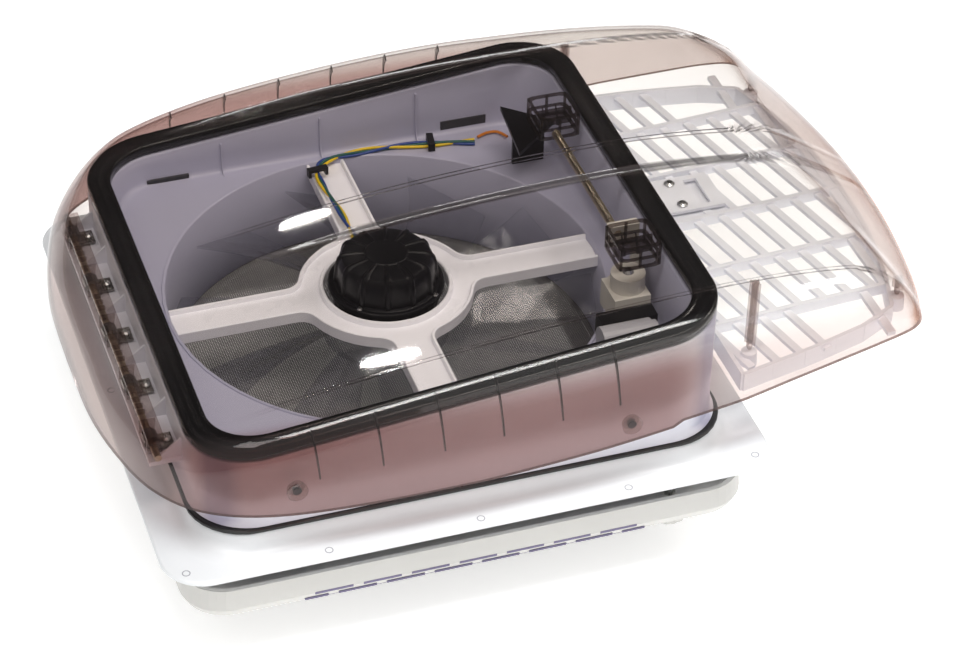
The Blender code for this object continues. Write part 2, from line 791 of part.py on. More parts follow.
def build_louvre():
    outline = [(191.0, -172.0)]
    for x in (215.0, 240.0, 265.0, 288.0, 306.0):
        outline.append((x, -louvre_width(x)))
    for k in range(9):
        y = -139.0 + 278.0 * k / 8
        outline.append((louvre_end(y), y))
    for x in (306.0, 288.0, 265.0, 240.0, 215.0):
        outline.append((x, louvre_width(x)))
    outline.append((191.0, 172.0))
    bm = bmesh.new()
    low = [(x, y, louvre_height(x) - 13.0) for x, y in outline]
    high = [(x, y, louvre_height(x)) for x, y in outline]
    ring_solid(bm, [low, high], False)
    louvre = finish_mesh("rain_louvre", bm, (0.82, 0.83, 0.88), 0.4)

    def slots(cut):
        slant = math.tan(math.radians(13.0))
        lanes = (-163.0, -115.0, -57.0, 0.0, 57.0, 115.0, 163.0)
        for y0, y1 in zip(lanes, lanes[1:], strict=False):
            a = y0 + 1.6
            b = y1 - 1.6
            middle = (a + b) / 2
            x = 200.0
            while x < 334.0:
                far = max(abs(a), abs(b))
                limit = louvre_end(far) - 7.0
                wide = min(11.5, limit - x - slant * (b - a) / 2)
                inside = louvre_width(x + 12.0) - far > 3.0
                plate = 205.0 < x + 6 < 262.0 and abs(middle - 28.0) < 20.0
                if wide > 7.0 and inside and not plate:
                    corners = [
                        (x - slant * (a - middle), a),
                        (x + wide - slant * (a - middle), a),
                        (x + wide - slant * (b - middle), b),
                        (x - slant * (b - middle), b),
                    ]
                    add_prism(cut, corners, 30.0, 80.0)
                x += LOUVRE_PITCH

    boolean(louvre, helper(slots), "DIFFERENCE")
    plate = bmesh.new()
    z = louvre_height(252.0) + 0.3
    add_box(plate, 208.0, 252.0, 8.0, 48.0, z, z + 2.4)
    cover = finish_mesh("louvre_plate", plate, (0.85, 0.86, 0.9), 0.4)

    def window(cut):
        add_box(cut, 233.0, 243.0, 13.0, 43.0, z - 2.0, z + 6.0)

    boolean(cover, helper(window), "DIFFERENCE")
    for k, y in enumerate((15.0, 41.0)):
        screw = bmesh.new()
        rings = [
            circle(4.0, z + 2.7, 12, 222.0, y),
            circle(4.0, z + 3.6, 12, 222.0, y),
            circle(2.4, z + 4.8, 12, 222.0, y),
        ]
        ring_solid(screw, rings, False)
        finish_mesh(f"plate_screw_{k + 1}", screw, (0.6, 0.6, 0.6), 0.25, 1.0)


# --- lift mechanism ------------------------------------------------------------------------------
def build_lift():
    rod_x = 141.0
    rod_z = 108.0
    rod = bmesh.new()
    add_cylinder_y(rod, 3.0, -62.0, 62.0, rod_x, rod_z, 12)
    finish_mesh("catch_rod", rod, (0.75, 0.68, 0.55), 0.35, 1.0)
    for index, side in enumerate((-1, 1)):
        box = bmesh.new()
        y = 80.0 * side
        add_box(box, 130.0, 161.0, y - 16.0, y + 16.0, 101.0, 119.0)
        catch = finish_mesh(f"lid_catch_{index + 1}", box, (0.16, 0.12, 0.11), 0.15, alpha=0.6)

        def pocket(cut, y=y):
            add_box(cut, 132.5, 158.5, y - 13.5, y + 13.5, 99.0, 116.5)

        boolean(catch, helper(pocket), "DIFFERENCE")
    rack = bmesh.new()
    rings = []
    steps = 60
    for k in range(steps + 1):
        angle = math.radians(RACK_LOW + (RACK_HIGH - RACK_LOW) * k / steps)
        root = -3.0 if k % 2 else -1.4
        ring = []
        for radius, y in ((root, -3.0), (3.0, -3.0), (3.0, 3.0), (root, 3.0)):
            r = RACK_RADIUS + radius
            ring.append((HINGE_X + r * math.cos(angle), RACK_Y + y, HINGE_Z + r * math.sin(angle)))
        rings.append(ring)
    ring_solid(rack, rings, False)
    lift_rack = finish_mesh("lift_rack", rack, (0.85, 0.85, 0.85), 0.4)

    def eye(add):
        add_box(add, rod_x - 6.0, 156.5, RACK_Y - 3.4, RACK_Y + 3.4, 98.0, 114.0)

    boolean(lift_rack, helper(eye), "UNION")

    def eye_hole(cut):
        add_cylinder_y(cut, 3.3, RACK_Y - 6.0, RACK_Y + 6.0, rod_x, rod_z, 12)

    boolean(lift_rack, helper(eye_hole), "DIFFERENCE")
    floor = SHELF_Z + 0.3
    box = bmesh.new()
    add_box(box, 130.0, 156.0, -92.0, -65.0, floor, 74.0)
    gearbox = finish_mesh("lift_gearbox", box, (0.85, 0.85, 0.84), 0.35)

    def turret(add):
        add_cylinder(add, 12.0, 60.0, 86.0, 24, 144.0, -78.0)

    boolean(gearbox, helper(turret), "UNION")
    screw = bmesh.new()
    ring_solid(screw, [circle(4.0, 86.3, 12, 144.0, -78.0), circle(2.6, 88.6, 12, 144.0, -78.0)], False)
    finish_mesh("gearbox_screw", screw, (0.7, 0.7, 0.7), 0.25, 1.0)
    pinion = bmesh.new()
    teeth = 10
    rings = []
    for y in (RACK_Y - 4.6, RACK_Y + 4.0):
        ring = []
        for k in range(2 * teeth):
            radius = 7.2 if k % 2 else 5.5
            angle = math.pi * (k + 0.5) / teeth
            ring.append(
                (PINION_X + radius * math.cos(angle), y, PINION_Z + radius * math.sin(angle))
            )
        rings.append(ring)
    ring_solid(pinion, rings, False)
    finish_mesh("drive_pinion", pinion, (0.8, 0.75, 0.6), 0.4)
    arm = bmesh.new()
    add_box(arm, 116.0, 156.0, -106.0, -93.0, floor, 68.0)
    finish_mesh("gearbox_bracket", arm, (0.03, 0.03, 0.03), 0.4)
    motor = bmesh.new()
    rings = []
    for x, radius in ((110.0, 4.0), (110.0, 10.0), (146.0, 10.0), (146.0, 8.0), (150.0, 8.0)):
        ring = circle(radius, 0.0, 20)
        rings.append([(x, -119.0 + a, 65.0 + b) for a, b, _ in ring])
    ring_solid(motor, rings, False)
    finish_mesh("lift_motor", motor, (0.35, 0.35, 0.36), 0.35, 0.6)
    plate = bmesh.new()
    add_prism(plate, [(118.0, 72.0), (156.0, 104.0), (124.0, 132.0)], 86.0, 89.0)
    bracket = finish_mesh("lift_bracket", plate, (0.02, 0.02, 0.02), 0.4)

    def legs(add):
        add_box(add, 126.0, 150.0, 108.0, 110.5, floor, 88.0)

    boolean(bracket, helper(legs), "UNION")


# --- wiring ------------------------------------------------------------------------------------------
def add_wire(name, points, radius, colour):
    """A round wire following a smooth path, six-sided."""
    dense = []
    padded = [points[0], *points, points[-1]]
    for k in range(1, len(padded) - 2):
        group = padded[k - 1 : k + 3]
        for s in range(3):
            t = s / 3
            value = []
            for a, b, c, d in zip(*group, strict=True):
                v = 2 * b + (c - a) * t
                v += (2 * a - 5 * b + 4 * c - d) * t * t
                v += (3 * b - a - 3 * c + d) * t * t * t
                value.append(v / 2)
            dense.append(Vector(value))
    dense.append(Vector(points[-1]))
    bm = bmesh.new()
    rings = []
    for k, centre in enumerate(dense):
        ahead = dense[min(k + 1, len(dense) - 1)]
        behind = dense[max(k - 1, 0)]
        along = (ahead - behind).normalized()
        side = along.cross(Vector((0, 0, 1))).normalized()
        up = side.cross(along)
        ring = []
        for s in range(6):
            angle = math.pi * s / 3
            ring.append(tuple(centre + side * math.cos(angle) * radius + up * math.sin(angle) * radius))
        rings.append(ring)
    ring_solid(bm, rings, False)
    finish_mesh(name, bm, colour, 0.4)


WIRE_PATH = (
    (-9.0, 47.5),
    (-10.0, 62.0),
    (-11.0, 88.0),
    (-15.0, 118.0),
    (-12.0, 141.0),
    (8.0, 152.5),
    (50.0, 151.5),
    (84.0, 146.0),
    (108.0, 141.0),
)


CLIP_PROFILE = (
    (-7.5, -1.6),
    (-7.5, 4.6),
    (7.5, 4.6),
    (7.5, -1.6),
    (5.4, -1.6),
    (5.4, 2.4),
    (-5.4, 2.4),
    (-5.4, -1.6),
)


def build_wires():
    height = SHELF_Z + 2.2
    colours = (
        ("wire_yellow", (0.85, 0.65, 0.02), -2.7),
        ("wire_green", (0.02, 0.2, 0.12), 0.0),
        ("wire_blue", (0.02, 0.06, 0.35), 2.7),
    )
    for name, colour, offset in colours:
        points = []
        count = len(WIRE_PATH)
        for k, (x, y) in enumerate(WIRE_PATH):
            ax, ay = WIRE_PATH[max(k - 1, 0)]
            bx, by = WIRE_PATH[min(k + 1, count - 1)]
            length = math.hypot(bx - ax, by - ay)
            nx = -(by - ay) / length
            ny = (bx - ax) / length
            points.append((x + nx * offset, y + ny * offset, height))
        add_wire(name, points, 1.1, colour)
    path = [(112.0, 146.0), (120.0, 149.0), (128.0, 148.0), (133.0, 140.0)]
    points = [(x, y, height) for x, y in path]
    add_wire("wire_orange", points, 1.1, (0.8, 0.25, 0.02))
    for k, (x, y, turn) in enumerate(((-13.4, 136.0, 5.0), (76.0, 147.6, 80.0))):
        bm = bmesh.new()
        rings = []
        for side in (-2.5, 2.5):
            ring = []
            for a, b in CLIP_PROFILE:
                angle = math.radians(turn)
                ring.append(
                    (
                        x + a * math.cos(angle) - side * math.sin(angle),
                        y + a * math.sin(angle) + side * math.cos(angle),
                        height + b,
                    )
                )
            rings.append(ring)
        ring_solid(bm, rings, False)
        finish_mesh(f"cable_clip_{k + 1}", bm, (0.02, 0.02, 0.02), 0.4)


# --- ceiling side ---------------------------------------------------------------------------------------
def build_ceiling():
    bm = bmesh.new()
    rings = [
        rounded_square(174.0, 174.0, 30.0, -0.4),
        rounded_square(174.0, 174.0, 30.0, -24.0),
        rounded_square(171.5, 171.5, 28.0, -24.0),
        rounded_square(171.5, 171.5, 28.0, -0.4),
    ]
    ring_solid(bm, rings)
    finish_mesh("duct_liner", bm, (0.75, 0.77, 0.84), 0.5)
    bezel = bmesh.new()
    half = BEZEL_HALF
    rings = [
        rounded_square(half, half, 30.0, BEZEL_TOP),
        rounded_square(half + 1.0, half + 1.0, 30.0, BEZEL_BOTTOM + 9.0),
        rounded_square(half - 2.0, half - 2.0, 28.0, BEZEL_BOTTOM + 2.5),
        rounded_square(half - 8.0, half - 8.0, 24.0, BEZEL_BOTTOM),
        rounded_square(BEZEL_OPENING, BEZEL_OPENING, 10.0, BEZEL_BOTTOM),
        rounded_square(BEZEL_OPENING, BEZEL_OPENING, 10.0, BEZEL_BOTTOM + 2.5),
        rounded_square(half - 8.0, half - 8.0, 24.0, BEZEL_BOTTOM + 2.5),
        rounded_square(half - 2.5, half - 2.5, 28.0, BEZEL_BOTTOM + 9.0),
        rounded_square(half - 3.0, half - 3.0, 28.0, BEZEL_TOP),
    ]
    ring_solid(bezel, rings)
    cover = finish_mesh("ceiling_bezel", bezel, (0.86, 0.85, 0.82), 0.45)

    def slots(cut):
        for side in (-1, 1):
            for k in range(7):
                x = (k - 3) * 33.0
                y = side * half
                add_box(cut, x - 13.0, x + 13.0, y - 6.0, y + 6.0, -35.0, -33.2)
            for k in range(8):
                x = (k - 3.5) * 33.0
                long = 8.0 if k in (0, 7) else 13.0
                x += 5.0 if k == 0 else (-5.0 if k == 7 else 0.0)
                y = side * half
                add_box(cut, x - long, x + long, y - 6.0, y + 6.0, -40.0, -38.3)
        add_cylinder(cut, 4.6, -50.0, -30.0, 16, KNOB_X, KNOB_Y)

    boolean(cover, helper(slots), "DIFFERENCE")
    clamp = bmesh.new()
    top = THROAT_BOTTOM - 1.2
    rings = []
    for radius, z in ((156.0, top), (156.0, top - 3.0), (149.0, top - 3.0), (149.0, top)):
        rings.append(circle(radius, z, 56, FAN_X, 0.0))
    ring_solid(clamp, rings)
    finish_mesh("screen_frame", clamp, (0.84, 0.84, 0.82), 0.45)
    screen = bmesh.new()
    add_cylinder(screen, 154.0, top + 0.3, top + 0.9, 56, FAN_X, 0.0)
    finish_mesh("insect_screen", screen, (0.06, 0.06, 0.06), 0.6)
    panel = bmesh.new()
    add_box(panel, -55.0, 55.0, 150.0, 182.0, BEZEL_BOTTOM - 3.3, BEZEL_BOTTOM - 0.3)
    finish_mesh("control_panel", panel, (0.1, 0.1, 0.11), 0.4)
    bearing = bmesh.new()
    rings = [
        circle(8.0, 36.0, 20, KNOB_X, KNOB_Y + 4.0),
        circle(8.0, SHELF_Z - HOUSING_SKIN - 0.3, 20, KNOB_X, KNOB_Y + 4.0),
    ]
    ring_solid(bearing, rings, False)
    block = finish_mesh("knob_bearing", bearing, (0.8, 0.8, 0.8), 0.45)

    def bore(cut):
        add_cylinder(cut, 3.3, 30.0, 47.0, 16, KNOB_X, KNOB_Y)

    boolean(block, helper(bore), "DIFFERENCE")
    shaft = bmesh.new()
    add_cylinder(shaft, SHAFT_RADIUS, SHAFT_BOTTOM, SHAFT_TOP, 12, KNOB_X, KNOB_Y)
    finish_mesh("knob_shaft", shaft, (0.7, 0.7, 0.7), 0.3, 1.0)
    knob = bmesh.new()
    rings = []
    for radius, z in ((13.0, -46.0), (15.0, -48.0), (14.6, -57.5), (12.5, KNOB_BOTTOM)):
        ring = []
        for k in range(KNOB_RIDGES):
            grip = radius - 0.8 * (k % 2)
            angle = 2 * math.pi * k / KNOB_RIDGES
            ring.append((KNOB_X + grip * math.cos(angle), KNOB_Y + grip * math.sin(angle), z))
        rings.append(ring)
    ring_solid(knob, rings, False)
    handle = finish_mesh("lid_knob", knob, (0.8, 0.78, 0.74), 0.45)

    def socket(cut):
        bottom = SHAFT_BOTTOM - FIT_GAP
        add_cylinder(cut, SHAFT_RADIUS + FIT_GAP, bottom, -40.0, 12, KNOB_X, KNOB_Y)

    boolean(handle, helper(socket), "DIFFERENCE")


def pivot(name, x, y, z, children):
    """An empty on a joint's axis; its children turn with it."""
    axis = bpy.data.objects.new(name, None)
    axis.empty_display_size = 0.03
    axis.location = (x * MM, y * MM, z * MM)
    bpy.context.scene.collection.objects.link(axis)
    for child in children:
        obj = bpy.data.objects[child]
        obj.parent = axis
        obj.matrix_parent_inverse = Matrix.Translation((-x * MM, -y * MM, -z * MM))


def build_pivots():
    lid = ["lid_shell", "lid_seal", "lid_hinge_bar", "rain_louvre", "louvre_plate"]
    lid += ["plate_screw_1", "plate_screw_2", "lid_catch_1", "lid_catch_2", "catch_rod", "lift_rack"]
    pivot("lid_pivot", HINGE_X, 0.0, HINGE_Z, lid)
    pivot("fan_pivot", FAN_X, 0.0, 27.0, ["fan_impeller", "rotor_shaft", "impeller_nut"])
    pivot("pinion_pivot", PINION_X, RACK_Y, PINION_Z, ["drive_pinion"])
    pivot("knob_pivot", KNOB_X, KNOB_Y, KNOB_BOTTOM, ["lid_knob", "knob_shaft"])


def main():
    clear_scene()
    build_flange()
    build_housing()
    build_spider()
    build_motor()
    build_impeller()
    build_lid()
    build_seal()
    build_hinge()
    build_louvre()
    build_lift()
    build_wires()
    build_ceiling()
    build_pivots()


main()
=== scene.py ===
"""Looks of a roof vent: a smoke hood over a four-spoke fan housing, its flange, duct and bezel.

Lengths in this script are millimetres in the CAD frame: origin at the centre of the roof
opening, +X towards the louvred tail, +Y across the hood, +Z up. MM turns them into metres.
"""

import json
import math

import bmesh
import bpy
from mathutils import Matrix, Vector


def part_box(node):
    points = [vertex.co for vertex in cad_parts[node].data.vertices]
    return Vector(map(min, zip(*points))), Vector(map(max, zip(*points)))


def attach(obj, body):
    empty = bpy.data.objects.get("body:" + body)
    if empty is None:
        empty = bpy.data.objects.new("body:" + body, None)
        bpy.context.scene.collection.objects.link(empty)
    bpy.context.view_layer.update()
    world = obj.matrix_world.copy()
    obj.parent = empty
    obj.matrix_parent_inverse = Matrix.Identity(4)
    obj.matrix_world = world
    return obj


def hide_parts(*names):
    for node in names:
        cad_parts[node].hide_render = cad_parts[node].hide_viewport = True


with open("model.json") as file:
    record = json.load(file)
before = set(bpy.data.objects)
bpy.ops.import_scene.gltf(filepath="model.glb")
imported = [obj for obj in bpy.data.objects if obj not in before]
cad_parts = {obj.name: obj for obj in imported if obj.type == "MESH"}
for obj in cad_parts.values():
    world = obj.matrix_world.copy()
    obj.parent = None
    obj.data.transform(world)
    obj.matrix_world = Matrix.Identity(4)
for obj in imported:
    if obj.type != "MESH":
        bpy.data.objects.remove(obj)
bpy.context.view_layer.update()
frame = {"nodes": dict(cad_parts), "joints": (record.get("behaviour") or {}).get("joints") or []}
MM = 0.001
WELD = 1e-6  # metres


def span(node):
    """Lowest and highest corner of a CAD node, in millimetres."""
    low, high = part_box(node)
    return low / MM, high / MM


# ---- places read from the frame ---------------------------------------------------------
JOINTS = {joint["name"]: joint for joint in frame["joints"]}
HINGE_Z = JOINTS["lid_hinge"]["pos_m"][2] / MM
FAN_X = JOINTS["fan_spin"]["pos_m"][0] / MM
FLANGE_X, FLANGE_Y, _ = span("roof_flange")[1]
WALL = span("lid_seal")[1].x  # the housing's wall and the seal on it are equally wide
CATCH_LOW, CATCH_HIGH = span("lid_catch_2")
CATCH_X, CATCH_Y, _ = (CATCH_LOW + CATCH_HIGH) / 2
SHELF_Z = 53.0
THROAT = 152.0  # radius of the fan's throat
SLOPE = 0.1  # the wall's top and the seal rise by this much per unit of X
CLIP_PITCH = 57.5  # between the hinge clips
BOSS_XS = (-122.0, 104.0)  # the hood's side screws
BOSS_Z = 55.5
SPINE_HALF = 17.5
RAIL_Y = 156.5


# ---- small numeric helpers --------------------------------------------------------------
def smoothstep(low, high, value):
    t = min(1.0, max(0.0, (value - low) / (high - low)))
    return t * t * (3 - 2 * t)


def lerp(a, b, t):
    return a + (b - a) * t


def track(stations, value):
    """Straight-line interpolation through (position, value) stations."""
    for (x0, y0), (x1, y1) in zip(stations, stations[1:], strict=False):
        if value <= x1:
            return lerp(y0, y1, max(0.0, (value - x0) / (x1 - x0)))
    return stations[-1][1]


def spline(keys, steps):
    """Points along a smooth curve through the keys, steps to each stretch."""
    padded = [keys[0], *keys, keys[-1]]
    out = []
    for k in range(1, len(padded) - 2):
        p0, p1, p2, p3 = padded[k - 1 : k + 3]
        for s in range(steps):
            t = s / steps
            point = []
            for a, b, c, d in zip(p0, p1, p2, p3, strict=True):
                value = 2 * b + (c - a) * t
                value += (2 * a - 5 * b + 4 * c - d) * t * t
                value += (3 * b - a - 3 * c + d) * t * t * t
                point.append(value / 2)
            out.append(tuple(point))
    out.append(tuple(keys[-1]))
    return out


def circle(radius, z, count, cx=0.0, cy=0.0):
    ring = []
    for k in range(count):
        angle = 2 * math.pi * k / count
        ring.append((cx + radius * math.cos(angle), cy + radius * math.sin(angle), z))
    return ring


def rounded_square(half_x, half_y, radius, height, steps=16, sides=10):
    """Points round a rounded rectangle; height is a number or a function of x."""
    corners = []
    for sx, sy, start in ((1, 1, 0), (-1, 1, 90), (-1, -1, 180), (1, -1, 270)):
        cx = sx * (half_x - radius)
        cy = sy * (half_y - radius)
        arc = []
        for k in range(steps + 1):
            angle = math.radians(start + 90.0 * k / steps)
            arc.append((cx + radius * math.cos(angle), cy + radius * math.sin(angle)))
        corners.append(arc)
    ring = []
    for c, arc in enumerate(corners):
        ring.extend(arc)
        ax, ay = arc[-1]
        bx, by = corners[(c + 1) % 4][0]
        for k in range(1, sides):
            ring.append((lerp(ax, bx, k / sides), lerp(ay, by, k / sides)))
    return [(x, y, height(x) if callable(height) else height) for x, y in ring]


def like(reference, radius, cx, cy, z):
    """Points on a circle at the same bearings as the points of another ring."""
    out = []
    for x, y, _ in reference:
        angle = math.atan2(y - cy, x - cx)
        out.append((cx + radius * math.cos(angle), cy + radius * math.sin(angle), z))
    return out


# ---- meshes -----------------------------------------------------------------------------
class Shape:
    """Collects lofts, prisms and turned pieces, in millimetres, into one mesh."""

    def __init__(self):
        self.points = []
        self.faces = []
        self.slots = []

    def ring(self, points):
        start = len(self.points)
        self.points.extend(points)
        return list(range(start, start + len(points)))

    def face(self, corners, slot=0):
        self.faces.append(tuple(corners))
        self.slots.append(slot)

    def bridge(self, a, b, slot=0, closed=True):
        count = len(a) if closed else len(a) - 1
        for i in range(count):
            j = (i + 1) % len(a)
            self.face((a[i], a[j], b[j], b[i]), slot)

    def loft(self, rings, caps=True, loop=False, slot=0):
        made = [self.ring(points) for points in rings]
        for a, b in zip(made, made[1:], strict=False):
            self.bridge(a, b, slot)
        if loop:
            self.bridge(made[-1], made[0], slot)
        elif caps:
            self.face(made[0][::-1], slot)
            self.face(made[-1], slot)
        return made

    def prism(self, outline, z0, z1, slot=0):
        low = [(x, y, z0) for x, y in outline]
        high = [(x, y, z1) for x, y in outline]
        return self.loft([low, high], slot=slot)

    def box(self, x0, x1, y0, y1, z0, z1, slot=0):
        return self.prism([(x0, y0), (x1, y0), (x1, y1), (x0, y1)], z0, z1, slot)

    def turned(self, profile, cx, cy, count=48, slot=0):
        """A closed solid turned about Z from (radius, z) stations."""
        return self.loft([circle(r, z, count, cx, cy) for r, z in profile], slot=slot)

    def turned_ring(self, profile, cx, cy, count=96, slot=0):
        """A ring turned about Z from a closed profile of (radius, z) stations."""
        rings = [circle(r, z, count, cx, cy) for r, z in profile]
        return self.loft(rings, loop=True, slot=slot)

    def rod(self, start, end, radius, count=16, slot=0):
        self.tube([start, end], radius, count, slot)

    def tube(self, path, radius, count=10, slot=0):
        """A round bar or wire along a path of points."""
        path = [Vector(p) for p in path]
        rings = []
        side = None
        for k, centre in enumerate(path):
            along = (path[min(k + 1, len(path) - 1)] - path[max(k - 1, 0)]).normalized()
            if side is None:
                guide = Vector((0, 0, 1)) if abs(along.z) < 0.9 else Vector((1, 0, 0))
                side = along.cross(guide).normalized()
            else:
                side = (side - along * side.dot(along)).normalized()
            up = side.cross(along)
            size = radius(k / (len(path) - 1)) if callable(radius) else radius
            ring = []
            for s in range(count):
                angle = 2 * math.pi * s / count
                offset = side * math.cos(angle) + up * math.sin(angle)
                ring.append(tuple(centre + offset * size))
            rings.append(ring)
        return self.loft(rings, slot=slot)


def mesh_of(name, shape, *mats):
    """The Shape as a Blender mesh, in metres, with its materials by face."""
    mesh = bpy.data.meshes.new(name)
    mesh.from_pydata([(x * MM, y * MM, z * MM) for x, y, z in shape.points], [], shape.faces)
    for mat in mats:
        mesh.materials.append(mat)
    for polygon, index in zip(mesh.polygons, shape.slots, strict=True):
        polygon.material_index = index
    return mesh


def face_outwards(mesh, weld=True):
    bm = bmesh.new()
    bm.from_mesh(mesh)
    if weld:
        bmesh.ops.remove_doubles(bm, verts=bm.verts, dist=WELD)
    bmesh.ops.recalc_face_normals(bm, faces=bm.faces)
    bm.to_mesh(mesh)
    bm.free()


def placed(name, data):
    """A new object in the scene that shows the mesh, lamp or camera."""
    obj = bpy.data.objects.new(name, data)
    bpy.context.scene.collection.objects.link(obj)
    return obj


def piece(name, shape, body, mat, replaces=(), smooth=35.0, bevel=0.0):
    """Makes a visible piece from a Shape, gives it its material, and rides it on a body."""
    mesh = mesh_of(name, shape, mat)
    face_outwards(mesh)
    obj = placed(name, mesh)
    mesh.shade_smooth()
    mesh.set_sharp_from_angle(angle=math.radians(smooth))
    if bevel:
        modifier = obj.modifiers.new("edges", "BEVEL")
        modifier.width = bevel * MM
        modifier.segments = 2
        modifier.limit_method = "ANGLE"
        modifier.angle_limit = math.radians(40)
        modifier.harden_normals = False
    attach(obj, body)
    if replaces:
        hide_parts(*replaces)
    return obj


# ---- materials --------------------------------------------------------------------------
class Nodes:
    """Short calls for building one material's node tree."""

    def __init__(self, name):
        self.mat = bpy.data.materials.new(name)
        self.mat.use_nodes = True
        self.tree = self.mat.node_tree
        self.shader = self.tree.nodes["Principled BSDF"]
        self.output = self.tree.nodes["Material Output"]
        place = self.tree.nodes.new("ShaderNodeTexCoord")
        self.place = place.outputs["Object"]

    def link(self, source, target):
        self.tree.links.new(source, target)

    def noise(self, scale, detail=3.0, rough=0.5, stretch=None):
        node = self.tree.nodes.new("ShaderNodeTexNoise")
        node.inputs["Scale"].default_value = scale
        node.inputs["Detail"].default_value = detail
        node.inputs["Roughness"].default_value = rough
        source = self.place
        if stretch:
            mapping = self.tree.nodes.new("ShaderNodeMapping")
            mapping.inputs["Scale"].default_value = stretch
            self.link(source, mapping.inputs["Vector"])
            source = mapping.outputs["Vector"]
        self.link(source, node.inputs["Vector"])
        return node.outputs["Fac"]

    def span(self, source, low, high, to_low, to_high):
        node = self.tree.nodes.new("ShaderNodeMapRange")
        for socket, value in zip(node.inputs[1:5], (low, high, to_low, to_high), strict=True):
            socket.default_value = value
        self.link(source, node.inputs["Value"])
        return node.outputs["Result"]

    def math(self, operation, a, b):
        node = self.tree.nodes.new("ShaderNodeMath")
        node.operation = operation
        for socket, value in zip(node.inputs, (a, b), strict=False):
            if isinstance(value, (int, float)):
                socket.default_value = value
            else:
                self.link(value, socket)
        return node.outputs["Value"]

    def mix(self, factor, a, b):
        node = self.tree.nodes.new("ShaderNodeMix")
        node.data_type = "RGBA"
        self.link(factor, node.inputs["Factor"])
        for socket, value in ((node.inputs["A"], a), (node.inputs["B"], b)):
            socket = [s for s in node.inputs if s.name == socket.name and s.type == "RGBA"][0]
            if isinstance(value, tuple):
                socket.default_value = (*value, 1.0)
            else:
                self.link(value, socket)
        return [s for s in node.outputs if s.type == "RGBA"][0]

    def bump(self, height, strength, distance):
        node = self.tree.nodes.new("ShaderNodeBump")
        node.inputs["Strength"].default_value = strength
        node.inputs["Distance"].default_value = distance
        self.link(height, node.inputs["Height"])
        self.link(node.outputs["Normal"], self.shader.inputs["Normal"])

    def axis(self, name):
        node = self.tree.nodes.new("ShaderNodeSeparateXYZ")
        self.link(self.place, node.inputs["Vector"])
        return node.outputs[name]

    def attribute(self, name):
        node = self.tree.nodes.new("ShaderNodeAttribute")
        node.attribute_name = name
        return node.outputs["Fac"]


def scaled(colour, factor):
    return tuple(min(1.0, c * factor) for c in colour)


def moulded(
    name, colour, rough, drift=0.05, grain=1500.0, depth=0.00002, coat=0.0, inside=None, shine=0.5
):
    """Injection-moulded plastic: faint flow clouds, uneven gloss and a fine skin texture.

    inside is a darker colour within the housing's wall: painted shade of the closed cavity, not a colour of
    the moulding.
    """
    n = Nodes(name)
    clouds = n.noise(9.0, 2.0)
    cloudy = n.span(clouds, 0.35, 0.65, 0.0, 1.0)
    tone = n.mix(cloudy, scaled(colour, 1 - drift), scaled(colour, 1 + drift))
    specks = n.noise(260.0, 4.0, 0.6)
    tone = n.mix(n.span(specks, 0.3, 0.75, 0.0, 0.25), tone, scaled(colour, 1 - 1.6 * drift))
    # Painted shade: within the housing's wall the colour turns to the darker inside colour.
    if inside:
        across = [n.math("ABSOLUTE", n.axis(axis), 0.0) for axis in ("X", "Y")]
        reach = n.math("MAXIMUM", *across)
        tone = n.mix(n.span(reach, 0.172, 0.178, 0.0, 1.0), inside, tone)
    n.link(tone, n.shader.inputs["Base Color"])
    gloss = n.noise(35.0, 3.0)
    n.link(n.span(gloss, 0.3, 0.7, rough * 0.82, rough * 1.18), n.shader.inputs["Roughness"])
    n.bump(n.noise(grain, 2.0), 0.25, depth)
    n.shader.inputs["Coat Weight"].default_value = coat
    n.shader.inputs["Specular IOR Level"].default_value = shine
    n.shader.inputs["Coat Roughness"].default_value = 0.12
    return n.mat


def metal(name, colour, rough, brush=(900.0, 60.0, 60.0), dirt=0.35):
    """Plated or brushed steel with fine draw lines and darker stains."""
    n = Nodes(name)
    lines = n.noise(1.0, 3.0, 0.6, stretch=brush)
    stains = n.noise(120.0, 4.0)
    tone = n.mix(n.span(stains, 0.4, 0.75, 0.0, 1.0), colour, scaled(colour, 1 - dirt))
    n.link(tone, n.shader.inputs["Base Color"])
    n.shader.inputs["Metallic"].default_value = 1.0
    n.link(n.span(lines, 0.3, 0.7, rough * 0.7, rough * 1.4), n.shader.inputs["Roughness"])
    n.bump(lines, 0.3, 0.00003)
    return n.mat


